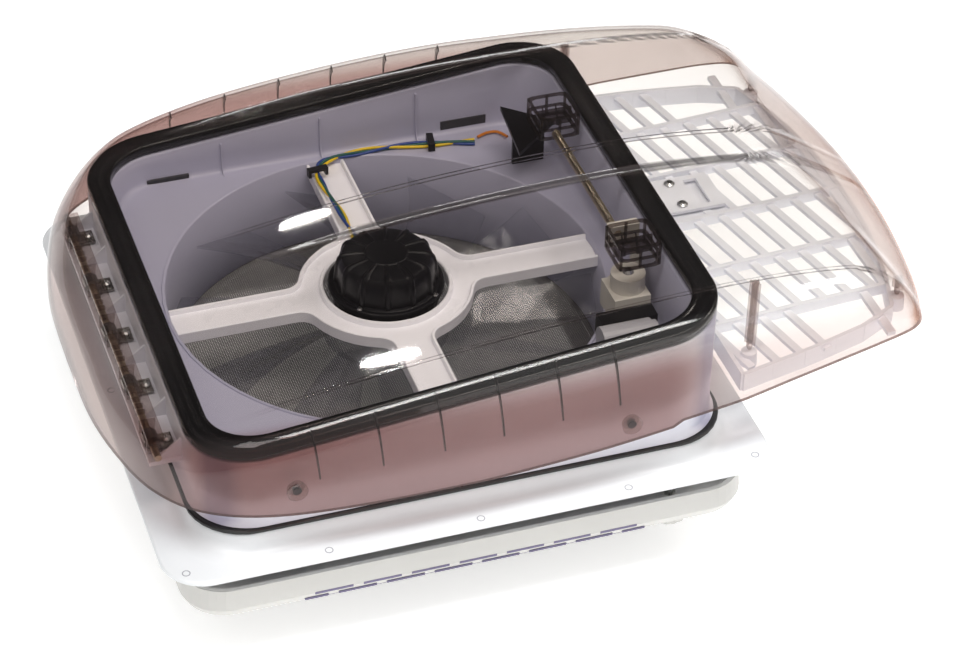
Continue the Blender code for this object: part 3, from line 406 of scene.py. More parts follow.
def smoke(name, tint, haze_colour, haze, gloss=1.0, rough=0.035, shade_tint=None, warm_tail=False):
    """Clear smoke plastic: a tinted see-through layer, a little haze and a mirror skin.

    The tint and haze grow at grazing angles, where the light's path through the sheet is
    longer. The deeper tint argument is painted shade: it fills in where the shell's shade
    attribute is full, on the walls in front of the shaded housing. The shell's "line" attribute
    paints dark shade along its creases, and "burnt" turns the tail's rim orange, as warm_tail does.
    """
    n = Nodes(name)
    tree = n.tree
    facing = tree.nodes.new("ShaderNodeLayerWeight")
    facing.inputs["Blend"].default_value = 0.5
    edge = n.math("POWER", facing.outputs["Facing"], 3.0)
    # Painted shade: the tint turns darker where the shell's shade attribute says the shaded housing stands
    # behind.
    colour = n.mix(n.attribute("smoke_shade"), tint, shade_tint) if shade_tint else tint
    colour = n.mix(n.math("MULTIPLY", edge, 0.75), colour, scaled(shade_tint or tint, 0.72))
    streaks = n.noise(14.0, 3.0, 0.5, stretch=(0.25, 1.0, 1.0))
    streaky = n.span(streaks, 0.3, 0.7, 0.0, 1.0)
    tone = n.mix(streaky, scaled(haze_colour, 0.85), scaled(haze_colour, 1.15))
    amount = n.math("ADD", n.math("MULTIPLY", edge, 0.16), haze)
    if warm_tail:
        tail = n.span(n.axis("X"), 0.275, 0.335, 0.0, 1.0)
        glow = n.math("MULTIPLY", n.math("MULTIPLY", tail, edge), 0.5)
        if shade_tint:
            glow = n.math("MINIMUM", n.math("ADD", n.attribute("burnt"), glow), 1.0)
        tone = n.mix(glow, tone, (0.50, 0.15, 0.04))
        colour = n.mix(glow, colour, (0.62, 0.28, 0.12))
        amount = n.math("ADD", amount, n.math("MULTIPLY", glow, 0.6))
    if shade_tint:
        # Painted shade: a dark line along the creases of the spine and the rails.
        line = n.attribute("line")
        amount = n.math("ADD", amount, n.math("MULTIPLY", line, 0.8))
        tone = n.mix(line, tone, (0.02, 0.014, 0.014))
    clear = tree.nodes.new("ShaderNodeBsdfTransparent")
    n.link(colour, clear.inputs["Color"])
    n.shader.inputs["Specular IOR Level"].default_value = 0.2
    n.shader.inputs["Roughness"].default_value = 0.3
    n.link(tone, n.shader.inputs["Base Color"])
    mixed = tree.nodes.new("ShaderNodeMixShader")
    n.link(n.math("MINIMUM", amount, 1.0), mixed.inputs["Fac"])
    n.link(clear.outputs["BSDF"], mixed.inputs[1])
    n.link(n.shader.outputs["BSDF"], mixed.inputs[2])
    mirror = tree.nodes.new("ShaderNodeBsdfGlossy")
    mirror.inputs["Roughness"].default_value = rough
    glancing = n.math("POWER", facing.outputs["Facing"], 5.0)
    share = n.math("MULTIPLY", n.math("ADD", n.math("MULTIPLY", glancing, 0.96), 0.04), gloss)
    skin = tree.nodes.new("ShaderNodeMixShader")
    n.link(share, skin.inputs["Fac"])
    n.link(mixed.outputs["Shader"], skin.inputs[1])
    n.link(mirror.outputs["BSDF"], skin.inputs[2])
    n.link(skin.outputs["Shader"], n.output.inputs["Surface"])
    return n.mat


WHITE = moulded("flange_white", (0.77, 0.78, 0.79), 0.34, 0.03)
# Painted shade: the housing's white turns darker and bluer inside its wall.
HOUSING = moulded("housing_white", (0.70, 0.71, 0.78), 0.36, 0.04, inside=(0.44, 0.44, 0.56))
SPOKE = moulded("spoke_white", (0.92, 0.92, 0.97), 0.3, 0.03)
WARM = moulded("bezel_white", (0.60, 0.59, 0.56), 0.42, 0.03, grain=900.0, depth=0.00004)
# Painted shade: the duct's colour is darker and bluer than the white plastic, for the shade under the
# flange.
DUCT_SHADED = moulded("duct_shaded", (0.44, 0.45, 0.60), 0.4, 0.05)
LOUVRE = moulded("louvre_white", (0.88, 0.89, 0.95), 0.36, 0.04)
RUBBER = moulded("seal_rubber", (0.006, 0.006, 0.007), 0.22, 0.2, grain=500.0, coat=0.1, shine=0.3)
GASKET = moulded("gasket_rubber", (0.008, 0.008, 0.008), 0.45, 0.2, grain=700.0)
BLACK = moulded(
    "black_plastic_skin", (0.006, 0.006, 0.008), 0.34, 0.25, grain=1100.0, depth=0.00003, shine=0.25
)
DARK = moulded("dark_plastic_skin", (0.03, 0.03, 0.035), 0.45, 0.25, grain=1100.0, depth=0.00005)
NATURAL = moulded("natural_acetal", (0.62, 0.60, 0.55), 0.4, 0.06)
GREY = moulded("grey_plastic_skin", (0.38, 0.38, 0.41), 0.4, 0.08)
STEEL = metal("zinc_steel", (0.60, 0.60, 0.60), 0.28)
SPRING = metal("spring_steel", (0.30, 0.29, 0.28), 0.3, dirt=0.5)
BEIGE = metal("beige_rod_steel", (0.62, 0.53, 0.40), 0.35, brush=(60.0, 900.0, 60.0))
SMOKE = smoke(
    "smoke_hood", (0.935, 0.922, 0.902), (0.10, 0.075, 0.07), 0.004, shade_tint=(0.68, 0.55, 0.53), warm_tail=True
)
SMOKE_EDGE = smoke("smoke_rim", (0.45, 0.34, 0.31), (0.10, 0.05, 0.045), 0.45, warm_tail=True)
SMOKE_RIB = smoke("smoke_rib", (0.25, 0.2, 0.2), (0.02, 0.014, 0.014), 0.7)
SMOKE_BAR = smoke("smoke_bar", (0.88, 0.84, 0.83), (0.17, 0.13, 0.12), 0.06)
SMOKE_DARK = smoke("smoke_catch", (0.62, 0.58, 0.57), (0.03, 0.025, 0.025), 0.2)
BLADE = smoke("smoke_blade", (0.965, 0.965, 0.975), (0.12, 0.12, 0.14), 0.012, gloss=0.5, rough=0.1)
SHEATHS = {
    "yellow": moulded("sheath_yellow", (0.75, 0.52, 0.01), 0.35, 0.08),
    "green": moulded("sheath_green", (0.01, 0.09, 0.07), 0.35, 0.08),
    "blue": moulded("sheath_blue", (0.015, 0.05, 0.24), 0.35, 0.08),
    "orange": moulded("sheath_orange", (0.60, 0.19, 0.02), 0.35, 0.08),
}


# ---- hood: the smoke shell with its spine, shoulder rails, ribs and posts ---------------
OUTLINE_KEYS = (
    (-229, 0), (-227.5, 60), (-219, 108), (-205, 147), (-180, 176), (-140, 193), (-80, 200),
    (0, 201), (80, 199), (140, 195), (200, 189), (260, 181), (304, 174), (322, 167),
    (330, 152), (338.5, 122), (346, 80), (350.5, 40), (352, 0),
)
RIM_STATIONS = (
    (0, 37), (80, 41), (134, 45), (141, 49), (187, 52), (222, 57), (257, 61), (293, 65), (320, 67),
)
SKIN = 2.4
OUTLINE_STEPS = 240
OFF_AXIS = 1e-4  # keeps the two points on the centre line off it


def resample(points, count):
    """Points spaced evenly along a plan path, count stretches long."""
    lengths = [0.0]
    for a, b in zip(points, points[1:], strict=False):
        lengths.append(lengths[-1] + math.dist(a, b))
    out = []
    k = 0
    for s in range(count + 1):
        target = lengths[-1] * s / count
        while k < len(points) - 2 and lengths[k + 1] < target:
            k += 1
        share = (target - lengths[k]) / (lengths[k + 1] - lengths[k])
        out.append(tuple(lerp(a, b, share) for a, b in zip(points[k], points[k + 1], strict=True)))
    return out


HALF = resample(spline(OUTLINE_KEYS, 24), OUTLINE_STEPS)
SPINE_ENDS = (-128.0, 245.0)


def spine_foot(px):
    """X of the centre-line point that the skin's ray from a rim point runs to."""
    return min(SPINE_ENDS[1], max(SPINE_ENDS[0], px))


def rail_reach(x, y):
    """Distance from the centre line, allowing for the rails drawing in towards the tail."""
    return abs(y) + 0.03 * max(0.0, x)


def hood_top(x, y):
    """Height of the top skin: a long crown, a raised centre spine and two shoulder rails."""
    fall = 0.000322 if x < 145 else 0.00062
    height = 125.0 - fall * (x - 145.0) ** 2
    height -= (8.0 - 5.0 * smoothstep(120, 280, x)) * (y / 185.0) ** 2
    height += 3.0 * (1 - smoothstep(SPINE_HALF - 1.5, SPINE_HALF + 1.5, abs(y))) * smoothstep(-145, -20, x)
    height += 2.2 * smoothstep(RAIL_Y - 1.5, RAIL_Y + 1.5, rail_reach(x, y)) * smoothstep(-170, -80, x)
    return height


def hood_point(px, py, w):
    """A point of the outer skin on the ray from rim point (px, py): w is 1 on the centre line."""
    mx = spine_foot(px)
    length = math.hypot(px - mx, py)
    end = smoothstep(0.08, 0.55, abs(px - mx) / length)
    x = px + (mx - px) * w
    y = py * (1 - w)
    reach = lerp(lerp(20.0, 30.0, smoothstep(60, 260, px)), 60.0 if px < 0 else 78.0, end)
    power = lerp(2.7, 2.3 if px < 0 else 1.35, end)
    u = min(1.0, length * w / reach)
    rise = (1 - (1 - u) ** power) ** (1 / power)
    rim = track(RIM_STATIONS, px)
    return x, y, rim + (hood_top(x, y) - rim) * rise


def hood_levels():
    """Shares of the way from the rim to the centre line, closer at the rim, rails and spine."""
    levels = [0.0, 0.002, 0.005, 0.009, 0.014, 0.02, 0.03, 0.042, 0.055, 0.07, 0.085, 0.1]
    levels += [0.12, 0.14, 0.16]
    levels += [0.17 + 0.005 * k for k in range(17)]
    levels += [0.28, 0.32, 0.38, 0.45, 0.53, 0.61, 0.69, 0.77, 0.83, 0.87]
    levels += [0.89 + 0.005 * k for k in range(11)]
    levels += [0.955, 0.97, 0.985, 0.9985]
    return levels


def smoke_and_painted_shade(x, z, inward):
    """How dark the smoke reads, with painted shade: darkest on the walls where the shaded housing stands
    behind them, lighter on the tail's.
    """
    # Painted shade: the walls read darker where the shaded housing wall stands behind them.
    housing_shade = smoothstep(-232, -165, x) * (1 - smoothstep(125, 180, x))
    wall = (1 - smoothstep(10, 26, inward)) * (1 - smoothstep(88, 110, z))
    return 0.08 * (1 - smoothstep(120, 190, x)) + wall * (0.32 + 0.60 * housing_shade)


ROOF = []  # the points of the hood's inner skin, for hood_under


def build_hood():
    """The see-through shell: an outer and an inner skin, joined at the rim."""
    full = HALF + [(x, -y) for x, y in HALF[-2:0:-1]]
    count = len(full)
    shape = Shape()
    smoke_shade = []
    lines = []
    burnt = []
    rows = []
    for w in hood_levels():
        rows.append([Vector(hood_point(px, py if abs(py) > 1e-6 else OFF_AXIS, w)) for px, py in full])
    inner = []
    for r, row in enumerate(rows):
        above = rows[min(r + 1, len(rows) - 1)]
        below = rows[max(r - 1, 0)]
        ring = []
        for k, point in enumerate(row):
            across = row[(k + 1) % count] - row[k - 1]
            normal = across.cross(above[k] - below[k])
            normal = normal.normalized() if normal.length > 1e-9 else Vector((0, 0, 1))
            if normal.z < 0:
                normal = -normal
            if r == 0:
                px, py = full[k]
                normal = Vector((px - spine_foot(px), py, 0.0)).normalized()
            ring.append(point - normal * SKIN)
        inner.append(ring)
    loops = []
    for skin in (rows, inner):
        made = []
        for row, w in zip(skin, hood_levels(), strict=True):
            made.append(shape.ring([tuple(p) for p in row]))
            for p, (px, py) in zip(row, full, strict=True):
                inward = w * math.hypot(px - spine_foot(px), py)
                burnt.append((1 - smoothstep(1.5, 7.0, inward)) * smoothstep(312, 338, px))
                # Painted shade: a darker tint on the walls in front of the shaded housing.
                smoke_shade.append(smoke_and_painted_shade(p.x, p.z, inward))
                # Painted shade: dark lines along the spine's edges and the rails' crests.
                spine = 1 - smoothstep(0.5, 2.0, abs(abs(p.y) - SPINE_HALF))
                rail = 1 - smoothstep(0.4, 1.4, abs(rail_reach(p.x, p.y) - RAIL_Y))
                edge = spine * smoothstep(-120, -20, p.x) * (1 - smoothstep(260, 330, p.x))
                rail *= smoothstep(-160, -80, p.x) * smoothstep(95, 105, p.z)
                lines.append(max(edge, rail))
        loops.append(made)
    for made in loops:
        for a, b in zip(made, made[1:], strict=False):
            shape.bridge(a, b)
        last = made[-1]
        for k in range(1, count // 2 - 1):
            shape.face((last[k], last[k + 1], last[count - k - 1], last[count - k]))
        shape.face((last[0], last[1], last[count - 1]))
        shape.face((last[count // 2 - 1], last[count // 2], last[count // 2 + 1]))
    shape.bridge(loops[0][0], loops[1][0], slot=1)
    mesh = mesh_of("hood_shell", shape, SMOKE, SMOKE_EDGE)
    for name, values in (("smoke_shade", smoke_shade), ("line", lines), ("burnt", burnt)):
        mesh.attributes.new(name, "FLOAT", "POINT").data.foreach_set("value", values)
    face_outwards(mesh, weld=False)
    mesh.shade_smooth()
    mesh.set_sharp_from_angle(angle=math.radians(40))
    hood = placed("hood_shell", mesh)
    ROOF.extend(tuple(p) for row in inner for p in row)
    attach(hood, "lid")
    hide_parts("lid_shell")


def rim_at(x, side):
    """The rim's plan point at this x, on the side of sign y."""
    best = min(HALF, key=lambda p: abs(p[0] - x))
    return best[0], best[1] * side


def hood_under(x, y):
    """Height of the hood's inner skin above a plan point."""
    return min(ROOF, key=lambda p: (p[0] - x) ** 2 + (p[1] - y) ** 2)[2]


build_hood()

RIB_THICK = 0.8
RIB_STEPS = 14
ribs = Shape()
for x in (-106.0, -64.5, -23.5, 16.5, 57.0, 97.0):
    for side in (-1, 1):
        px, py = rim_at(x, side)
        outer = []
        inner = []
        for k in range(RIB_STEPS + 1):
            share = k / RIB_STEPS
            w = 0.004 + 0.062 * share**1.5
            _, y, z = hood_point(px, py, w)
            lean = -4.0 * max(0.0, (z - 50) / 55)
            outer.append((x + lean, y - 2.0 * side, z - 0.6))
            inner.append((x + lean, y - (3.2 + 2.2 * share) * side, z - 1.6 - 2.5 * share))
        rings = []
        for (ax, ay, az), (bx, by, bz) in zip(outer, inner, strict=True):
            half = RIB_THICK / 2
            rings.append(
                [(ax - half, ay, az), (ax + half, ay, az), (bx + half, by, bz), (bx - half, by, bz)]
            )
        ribs.loft(rings)
piece("hood_ribs", ribs, "lid", SMOKE_RIB)

POSTS = ((205.0, -150.0, 60.5), (180.0, 152.0, 66.0), (322.0, -130.0, 66.0), (322.0, 130.0, 66.0))
FIN = ((-4.2, -0.4), (4.2, -0.4), (4.2, 0.4), (-4.2, 0.4))
posts = Shape()
for x, y, foot in POSTS:
    top = hood_under(x, y) - 0.6
    posts.turned([(1.6, foot), (2.0, foot + 2), (2.0, top - 3), (2.8, top)], x, y, 24)
    for turn in (0.0, 90.0):
        c = math.cos(math.radians(turn + 35))
        s = math.sin(math.radians(turn + 35))
        posts.prism([(x + a * c - b * s, y + a * s + b * c) for a, b in FIN], foot + 4, top)
piece("hood_posts", posts, "lid", SMOKE_BAR)


def turned_in_sides(profile, count):
    """A piece turned about Y from (radius, depth) stations, at each of the hood's side screws."""
    shape = Shape()
    for x in BOSS_XS:
        for side in (-1, 1):
            _, y = rim_at(x, side)
            rings = []
            for radius, depth in profile:
                ring = circle(radius, 0.0, count)
                rings.append([(x + a, y - depth * side, BOSS_Z + b) for a, b, _ in ring])
            shape.loft(rings)
    return shape


bosses = turned_in_sides(((7.0, 2.2), (7.0, 0.5), (5.6, 0.5), (3.2, 1.6), (3.0, 5.0), (6.0, 5.5)), 32)
piece("hood_bosses", bosses, "lid", SMOKE_BAR)
plugs = turned_in_sides(((2.9, 1.5), (2.9, 5.0)), 24)
piece("hood_screw_heads", plugs, "lid", DARK)


# ---- smoke hinge bar with its webs ------------------------------------------------------
bar_shape = Shape()
bar_shape.box(-202.4, -191.0, -130.0, 130.0, HINGE_Z + 6.4, HINGE_Z + 8.2)
for k in range(-2, 3):
    for offset in (-11.0, 11.0):
        y = CLIP_PITCH * k + offset
        web = [(-203.0, 51.0), (-193.0, 51.0), (-192.0, 60.0), (-192.0, 61.0), (-203.0, 61.0)]
        bar_shape.loft([[(x, y + s, z) for x, z in web] for s in (-0.6, 0.6)])
for k in range(-3, 3):
    for offset in (22.0, 28.7, 35.4):
        y = CLIP_PITCH * k + offset
        if abs(y) < 129:
            bar_shape.box(-202.4, -196.0, y - 0.4, y + 0.4, HINGE_Z + 3.0, HINGE_Z + 6.6)
piece("hinge_bar", bar_shape, "lid", SMOKE_BAR, ["lid_hinge_bar"])


# ---- seal ring under the hood -----------------------------------------------------------
seal = Shape()
SEAL_TOP = 97.0
SEAL_PROFILE = (
    (181.0, 46.0, -6.5), (181.0, 46.0, -2.5), (180.6, 45.7, -1.0), (179.6, 45.2, -0.1), (178.2, 44.5, 0.0),
    (177.0, 43.6, -0.8), (176.0, 43.0, -1.3), (174.8, 42.2, -0.8), (173.0, 41.0, -0.1), (171.2, 39.8, -0.8),
    (170.0, 39.0, -1.3), (169.0, 38.0, -0.8), (167.8, 36.8, 0.0), (166.2, 35.4, -0.2), (165.2, 34.4, -1.2),
    (165.0, 34.0, -2.8), (165.0, 34.0, -6.5), (167.0, 35.0, -8.0), (179.0, 45.0, -8.0),
)
seal.loft(
    [
        rounded_square(half, half, radius, lambda x, lift=lift: SEAL_TOP + SLOPE * x + lift, 24, 12)
        for half, radius, lift in SEAL_PROFILE
    ],
    loop=True,
)
piece("seal_ring", seal, "lid", RUBBER, ["lid_seal"], smooth=60)


# ---- fan housing: wall, shelf, throat and four-spoke spider -----------------------------
def rim_height(x):
    """Top of the housing's wall, following the seal's slope."""
    return 88.0 + SLOPE * x


housing = Shape()
shelf_ring = rounded_square(160.5, 160.5, 34.0, SHELF_Z, 16, 12)


def wall_ring(half, radius, height):
    return rounded_square(half, half, radius, height, 16, 12)


def throat_ring(radius, z):
    return like(shelf_ring, radius, FAN_X, 0.0, z)


housing_rings = [
    wall_ring(WALL + 1.5, 42.0, 20.5),
    wall_ring(WALL + 1.2, 43.0, 21.5),
    wall_ring(WALL + 0.2, 45.0, 24.0),
    wall_ring(WALL, 46.0, 30.0),
    wall_ring(WALL, 46.0, lambda x: rim_height(x) - 1.2),
    wall_ring(WALL - 1.1, 45.0, rim_height),
    wall_ring(165.2, 33.5, rim_height),
    wall_ring(164.0, 32.0, lambda x: rim_height(x) - 1.2),
    wall_ring(162.2, 33.0, 66.0),
    wall_ring(161.3, 33.6, 57.0),
    wall_ring(160.4, 33.8, 54.4),
    wall_ring(158.0, 33.0, 53.1),
    wall_ring(156.5, 32.0, SHELF_Z),
    throat_ring(154.6, SHELF_Z),
    throat_ring(154.3, SHELF_Z + 1.0),
    throat_ring(152.7, SHELF_Z + 1.0),
    throat_ring(THROAT, SHELF_Z + 0.2),
    throat_ring(THROAT, 20.0),
    throat_ring(THROAT, -15.4),
    throat_ring(152.6, -16.0),
    throat_ring(154.4, -16.0),
    throat_ring(154.5, 50.4),
    wall_ring(163.0, 36.0, 50.4),
    wall_ring(166.5, 35.0, lambda x: rim_height(x) - 2.6),
    wall_ring(178.5, 44.0, lambda x: rim_height(x) - 2.6),
    wall_ring(180.0, 40.0, 20.5),
]
housing.loft(housing_rings, loop=True)
piece("housing_shell", housing, "vent_base", HOUSING, ["fan_housing"], smooth=50)


def spider_loop(inset, z, fine=6):
    """The spider's outline: four arms blended into a round hub, all moved in by inset."""
    half = 14.0 - inset
    hub = 61.0 - inset
    fillet = 12.0 + inset
    reach = THROAT + 1.0
    across = half + fillet
    along = math.sqrt((hub + fillet) ** 2 - across**2)
    touch = math.atan2(across, along)
    local = [(reach, half), (120.0, half), (95.0, half)]
    bend = math.pi / 2 - touch
    for k in range(fine + 1):
        angle = -math.pi / 2 - bend * k / fine
        local.append((along + fillet * math.cos(angle), across + fillet * math.sin(angle)))
    for k in range(1, fine):
        angle = touch + (math.pi / 2 - 2 * touch) * k / fine
        local.append((hub * math.cos(angle), hub * math.sin(angle)))
    for k in range(fine + 1):
        angle = -math.pi / 2 - bend * (fine - k) / fine
        local.append((across + fillet * math.sin(angle), along + fillet * math.cos(angle)))
    local += [(half, 95.0), (half, 120.0), (half, reach)]
    ring = []
    for quarter in range(4):
        c, s = ((1, 0), (0, 1), (-1, 0), (0, -1))[quarter]
        ring.extend((FAN_X + x * c - y * s, x * s + y * c, z) for x, y in local)
    return ring


spider = Shape()
outline = spider_loop(0.0, 44.0)
spider_rings = [
    outline,
    spider_loop(0.0, 52.2),
    spider_loop(0.5, 52.7),
    spider_loop(1.7, 52.7),
    spider_loop(2.2, 52.2),
    spider_loop(2.6, 49.4),
]
for radius, z in ((46.6, 49.4), (46.2, 52.6), (45.7, 53.2), (44.2, 53.2), (43.5, 52.6), (43.5, 44.0)):
    spider_rings.append(like(outline, radius, FAN_X, 0.0, z))
spider.loft(spider_rings, loop=True)
piece("spider", spider, "vent_base", SPOKE, ["motor_spider"], smooth=40)

details = Shape()
for x in (-78.0, -4.0, 69.0):
    for side in (-1, 1):
        rings = []
        stations = ((153.5, 53.2), (156.5, 54.2), (159.2, 57.5), (160.4, 64.0), (161.6, rim_height(x) - 4.0))
        for reach, z in stations:
            near = reach * side
            far = 166.0 * side
            rings.append([(x - 0.6, near, z), (x + 0.6, near, z), (x + 0.6, far, z), (x - 0.6, far, z)])
        details.loft(rings)
details.box(-203.0, -180.0, -131.0, 131.0, 44.2, 47.6)
for k in (-2.24, -1.5, -0.5, 0.5, 1.5, 2.24):
    y = CLIP_PITCH * k
    profile = [(-199.0, 47.4), (-180.6, 47.4), (-180.6, 62.4)]
    details.loft([[(x, y + s, z) for x, z in profile] for s in (-0.9, 0.9)])
piece("housing_details", details, "vent_base", HOUSING, bevel=0.25)

# Painted shade: dark boxes stand where the wall's slots are, for the shade inside them.
slots = Shape()
slots.box(-134.0, -103.0, 159.0, 161.3, 53.25, 56.6)
slots.box(88.0, 123.0, 160.8, 162.9, 56.0, 63.0)
piece("painted_slot_shade", slots, "vent_base", DARK)


# ---- smoke catch boxes with their pins --------------------------------------------------
for index, side in enumerate((-1, 1)):
    catch = Shape()
    y = CATCH_Y * side
    for z0, z1 in ((101.2, 102.8), (108.5, 109.7), (117.2, 118.8)):
        rings = []
        for inset, z in ((0.0, z0), (0.0, z1), (2.2, z1), (2.2, z0)):
            ring = rounded_square(15.3 - inset, 15.8 - inset, 5.0, 0.0, 5, 2)
            rings.append([(CATCH_X + a, y + b, z) for a, b, _ in ring])
        catch.loft(rings, loop=True)
    for dx in (-13.8, 0.0, 13.8):
        for dy in (-14.2, 14.2):
            catch.rod((CATCH_X + dx, y + dy, 101.4), (CATCH_X + dx, y + dy, 118.4), 1.1, 10)
    for dx in (-6.0, 4.0):
        x = CATCH_X + dx
        pin = [(x, y, 102.0), (x - 0.5, y + 2, 110.0), (x - 1.5, y + 3, 117.5)]
        catch.tube(pin, lambda t: 1.3 - 0.8 * t, 10)
    catch.box(132.0, 159.0, y - 1.0, y + 1.0, 103.0, 116.0)
    piece(f"catch_{index + 1}", catch, "lid", SMOKE_DARK, [f"lid_catch_{index + 1}"])


# ---- motor ------------------------------------------------------------------------------
motor = Shape()
VANES = 12
VANE_STEPS = 16
CAP_SEGMENTS = VANES * VANE_STEPS


def vaned(radius, z, swell, lift):
    """A ring of the motor's cap, pushed out and up along its radial vanes."""
    ring = []
    for k in range(CAP_SEGMENTS):
        phase = (k % VANE_STEPS) / VANE_STEPS
        vane = max(0.0, 1.0 - abs(phase - 0.5) / 0.14)
        vane = min(1.0, 1.6 * vane)
        angle = 2 * math.pi * k / CAP_SEGMENTS
        r = radius + swell * vane
        ring.append((FAN_X + r * math.cos(angle), r * math.sin(angle), z + lift * vane))
    return ring


motor.loft(
    [
        vaned(34.4, 56.2, 2.0, 0.0),
        vaned(34.2, 60.0, 2.0, 0.0),
        vaned(33.4, 70.0, 1.8, 0.0),
        vaned(32.4, 74.5, 1.4, 0.6),
        vaned(30.6, 77.0, 0.8, 1.2),
        vaned(27.5, 78.2, 0.0, 1.2),
        vaned(18.0, 78.8, 0.0, 1.0),
        vaned(15.0, 78.9, 0.0, 0.3),
        vaned(14.4, 79.4, 0.0, 0.0),
        vaned(12.0, 79.6, 0.0, 0.0),
        vaned(0.6, 79.6, 0.0, 0.0),
    ]
)
piece("motor_cover", motor, "vent_base", BLACK, ["motor_cap"], smooth=30)
plate = Shape()
PLATE_PROFILE = (
    (40.5, 52.8), (40.5, 55.2), (39.9, 55.9), (37.6, 55.9),
    (37.0, 55.5), (36.4, 55.9), (20.0, 55.9), (20.0, 52.8),
)
plate.turned_ring(PLATE_PROFILE, FAN_X, 0.0, 128)
piece("motor_flange", plate, "vent_base", BLACK, ["motor_plate"])


# ---- flange on the roof -----------------------------------------------------------------
flange = Shape()


def plate_ring(half_x, half_y, radius, z):
    return rounded_square(half_x, half_y, radius, z, 20, 14)


flange_rings = [
    plate_ring(FLANGE_X - 1.2, FLANGE_Y - 1.2, 29.0, 0.0),
    plate_ring(FLANGE_X - 0.2, FLANGE_Y - 0.2, 29.8, 0.9),
    plate_ring(FLANGE_X, FLANGE_Y, 30.0, 2.2),
    plate_ring(FLANGE_X - 0.6, FLANGE_Y - 0.6, 29.6, 3.5),
    plate_ring(FLANGE_X - 2.0, FLANGE_Y - 2.0, 28.6, 4.0),
    plate_ring(194.0, 191.0, 30.0, 4.4),
    plate_ring(189.0, 188.0, 34.0, 5.4),
    plate_ring(186.6, 186.4, 38.0, 7.6),
    plate_ring(185.2, 185.2, 41.0, 11.0),
    plate_ring(184.4, 184.4, 42.0, 15.6),
    plate_ring(183.4, 183.4, 42.0, 17.0),
    plate_ring(177.0, 177.0, 36.0, 17.0),
    plate_ring(175.2, 175.2, 34.0, 15.0),
    plate_ring(175.0, 175.0, 33.0, 0.0),
]
flange.loft(flange_rings, loop=True)
holes = []
for sx in (-1, 1):
    for sy in (-1, 1):
        holes.append((196.0 * sx, 193.0 * sy))
    holes.append((200.0 * sx, 0.0))
for x in (-103.0, 0.0, 103.0):
    holes += [(x, -199.0), (x, 199.0)]
piece("flange_plate", flange, "vent_base", WHITE, ["roof_flange"], smooth=50)
eyes = Shape()
for x, y in holes:
    eyes.turned([(2.8, 3.6), (2.8, 4.25), (2.2, 4.3), (1.9, 3.9)], x, y, 24)
piece("flange_holes", eyes, "vent_base", GREY)


# ---- rain louvre: a thin ladder of slanted slats under the tail -------------------------
LANES = (-163.0, -115.0, -57.0, 0.0, 57.0, 115.0, 163.0)


def louvre_width(x):
    return track(((190, 172), (246, 163), (288, 153), (318, 139), (334, 90)), x)


def louvre_height(x):
    return 55.0 + 0.055 * (x - 190.0)


def louvre_end(y):
    return 339.0 - 26.0 * (abs(y) / 150.0) ** 2.2


def bar(shape, a, b, wide, low, high):
    """A straight bar between plan points a and b, following the louvre's slope."""
    length = math.dist(a, b)
    nx = -(b[1] - a[1]) / length * wide / 2
    ny = (b[0] - a[0]) / length * wide / 2
    corners = [(x + nx * s, y + ny * s) for (x, y), s in ((a, 1), (a, -1), (b, -1), (b, 1))]
    bottom = [(x, y, louvre_height(x) + low) for x, y in corners]
    top = [(x, y, louvre_height(x) + high) for x, y in corners]
    shape.loft([bottom, top])


SLAT_PITCH = 18.5
grille = Shape()
edge = [(192.5, 0.0), (192.5, 170.5)]
edge += [(x, louvre_width(x) - 1.5) for x in (215.0, 240.0, 265.0, 288.0, 304.0)]
edge += [(louvre_end(y) - 2.5, y) for y in (139.0, 110.0, 80.0, 50.0, 25.0, 0.0)]
for side in (-1, 1):
    for a, b in zip(edge, edge[1:], strict=False):
        bar(grille, (a[0], a[1] * side), (b[0], b[1] * side), 3.0, -12.0, 2.4)
for y in LANES[1:-1]:
    far = louvre_end(y) - 2.0
    bar(grille, (193.0, y), (far, y), 3.2, -6.0, 2.4)
slant = math.tan(math.radians(13.0))
for y0, y1 in zip(LANES, LANES[1:], strict=False):
    limit = louvre_end(max(abs(y0), abs(y1))) - 4.0
    x = 196.5
    while x < limit:
        lean = slant * (y1 - y0) / 2
        inside = louvre_width(x + 8.0) - max(abs(y0), abs(y1)) > -4.0
        if inside:
            bar(grille, (x + lean, y0), (x - lean, y1), 5.6, -3.0, 0.0)
        x += SLAT_PITCH
    bar(grille, (limit, y0), (limit, y1), 6.0, -3.0, 0.4)
grille.prism([(204.0, 4.0), (256.0, 4.0), (256.0, 52.0), (204.0, 52.0)], 52.0, 56.4)
for x, y, level_at in ((205.0, 150.0, 205.0), (322.0, 130.0, 322.0), (328.0, 60.0, 333.0)):
    height = louvre_height(level_at)
    for side in (-1, 1):
        grille.turned([(6.0, height - 8), (5.4, height + 2.5), (3.0, height + 3.0)], x, y * side, 32)
piece("louvre_grille", grille, "lid", LOUVRE, ["rain_louvre"], bevel=0.3)


# ---- slots in the bezel's two long sides ------------------------------------------------
DASH_PITCH = 33.0
DASH_ROWS = (
    # count, inner and outer Y, bottom and top Z
    (7, 190.0, 196.15, -35.0, -33.2),
    (8, 190.0, 194.6, -39.9, -38.4),
    (7, 188.0, 191.6, -42.3, -41.3),
)
dashes = Shape()
for side in (-1, 1):
    for count, inner_y, outer_y, z0, z1 in DASH_ROWS:
        y0, y1 = sorted((inner_y * side, outer_y * side))
        for k in range(count):
            # The row of 8 ends with short dashes, so that it is as long as the bezel's flat side.
            short = count == 8 and k in (0, 7)
            half_dash = 8.0 if short else 13.0
            x = (k - (count - 1) / 2) * DASH_PITCH
            if short:
                x -= math.copysign(5.0, x)
            dashes.box(x - half_dash, x + half_dash, y0, y1, z0, z1)
SHADE = moulded("slot_shade", (0.16, 0.14, 0.24), 0.6, 0.1)
piece("bezel_dashes", dashes, "vent_base", SHADE)


# ---- insect screen ----------------------------------------------------------------------
MESH_PITCH = 0.0016  # metres


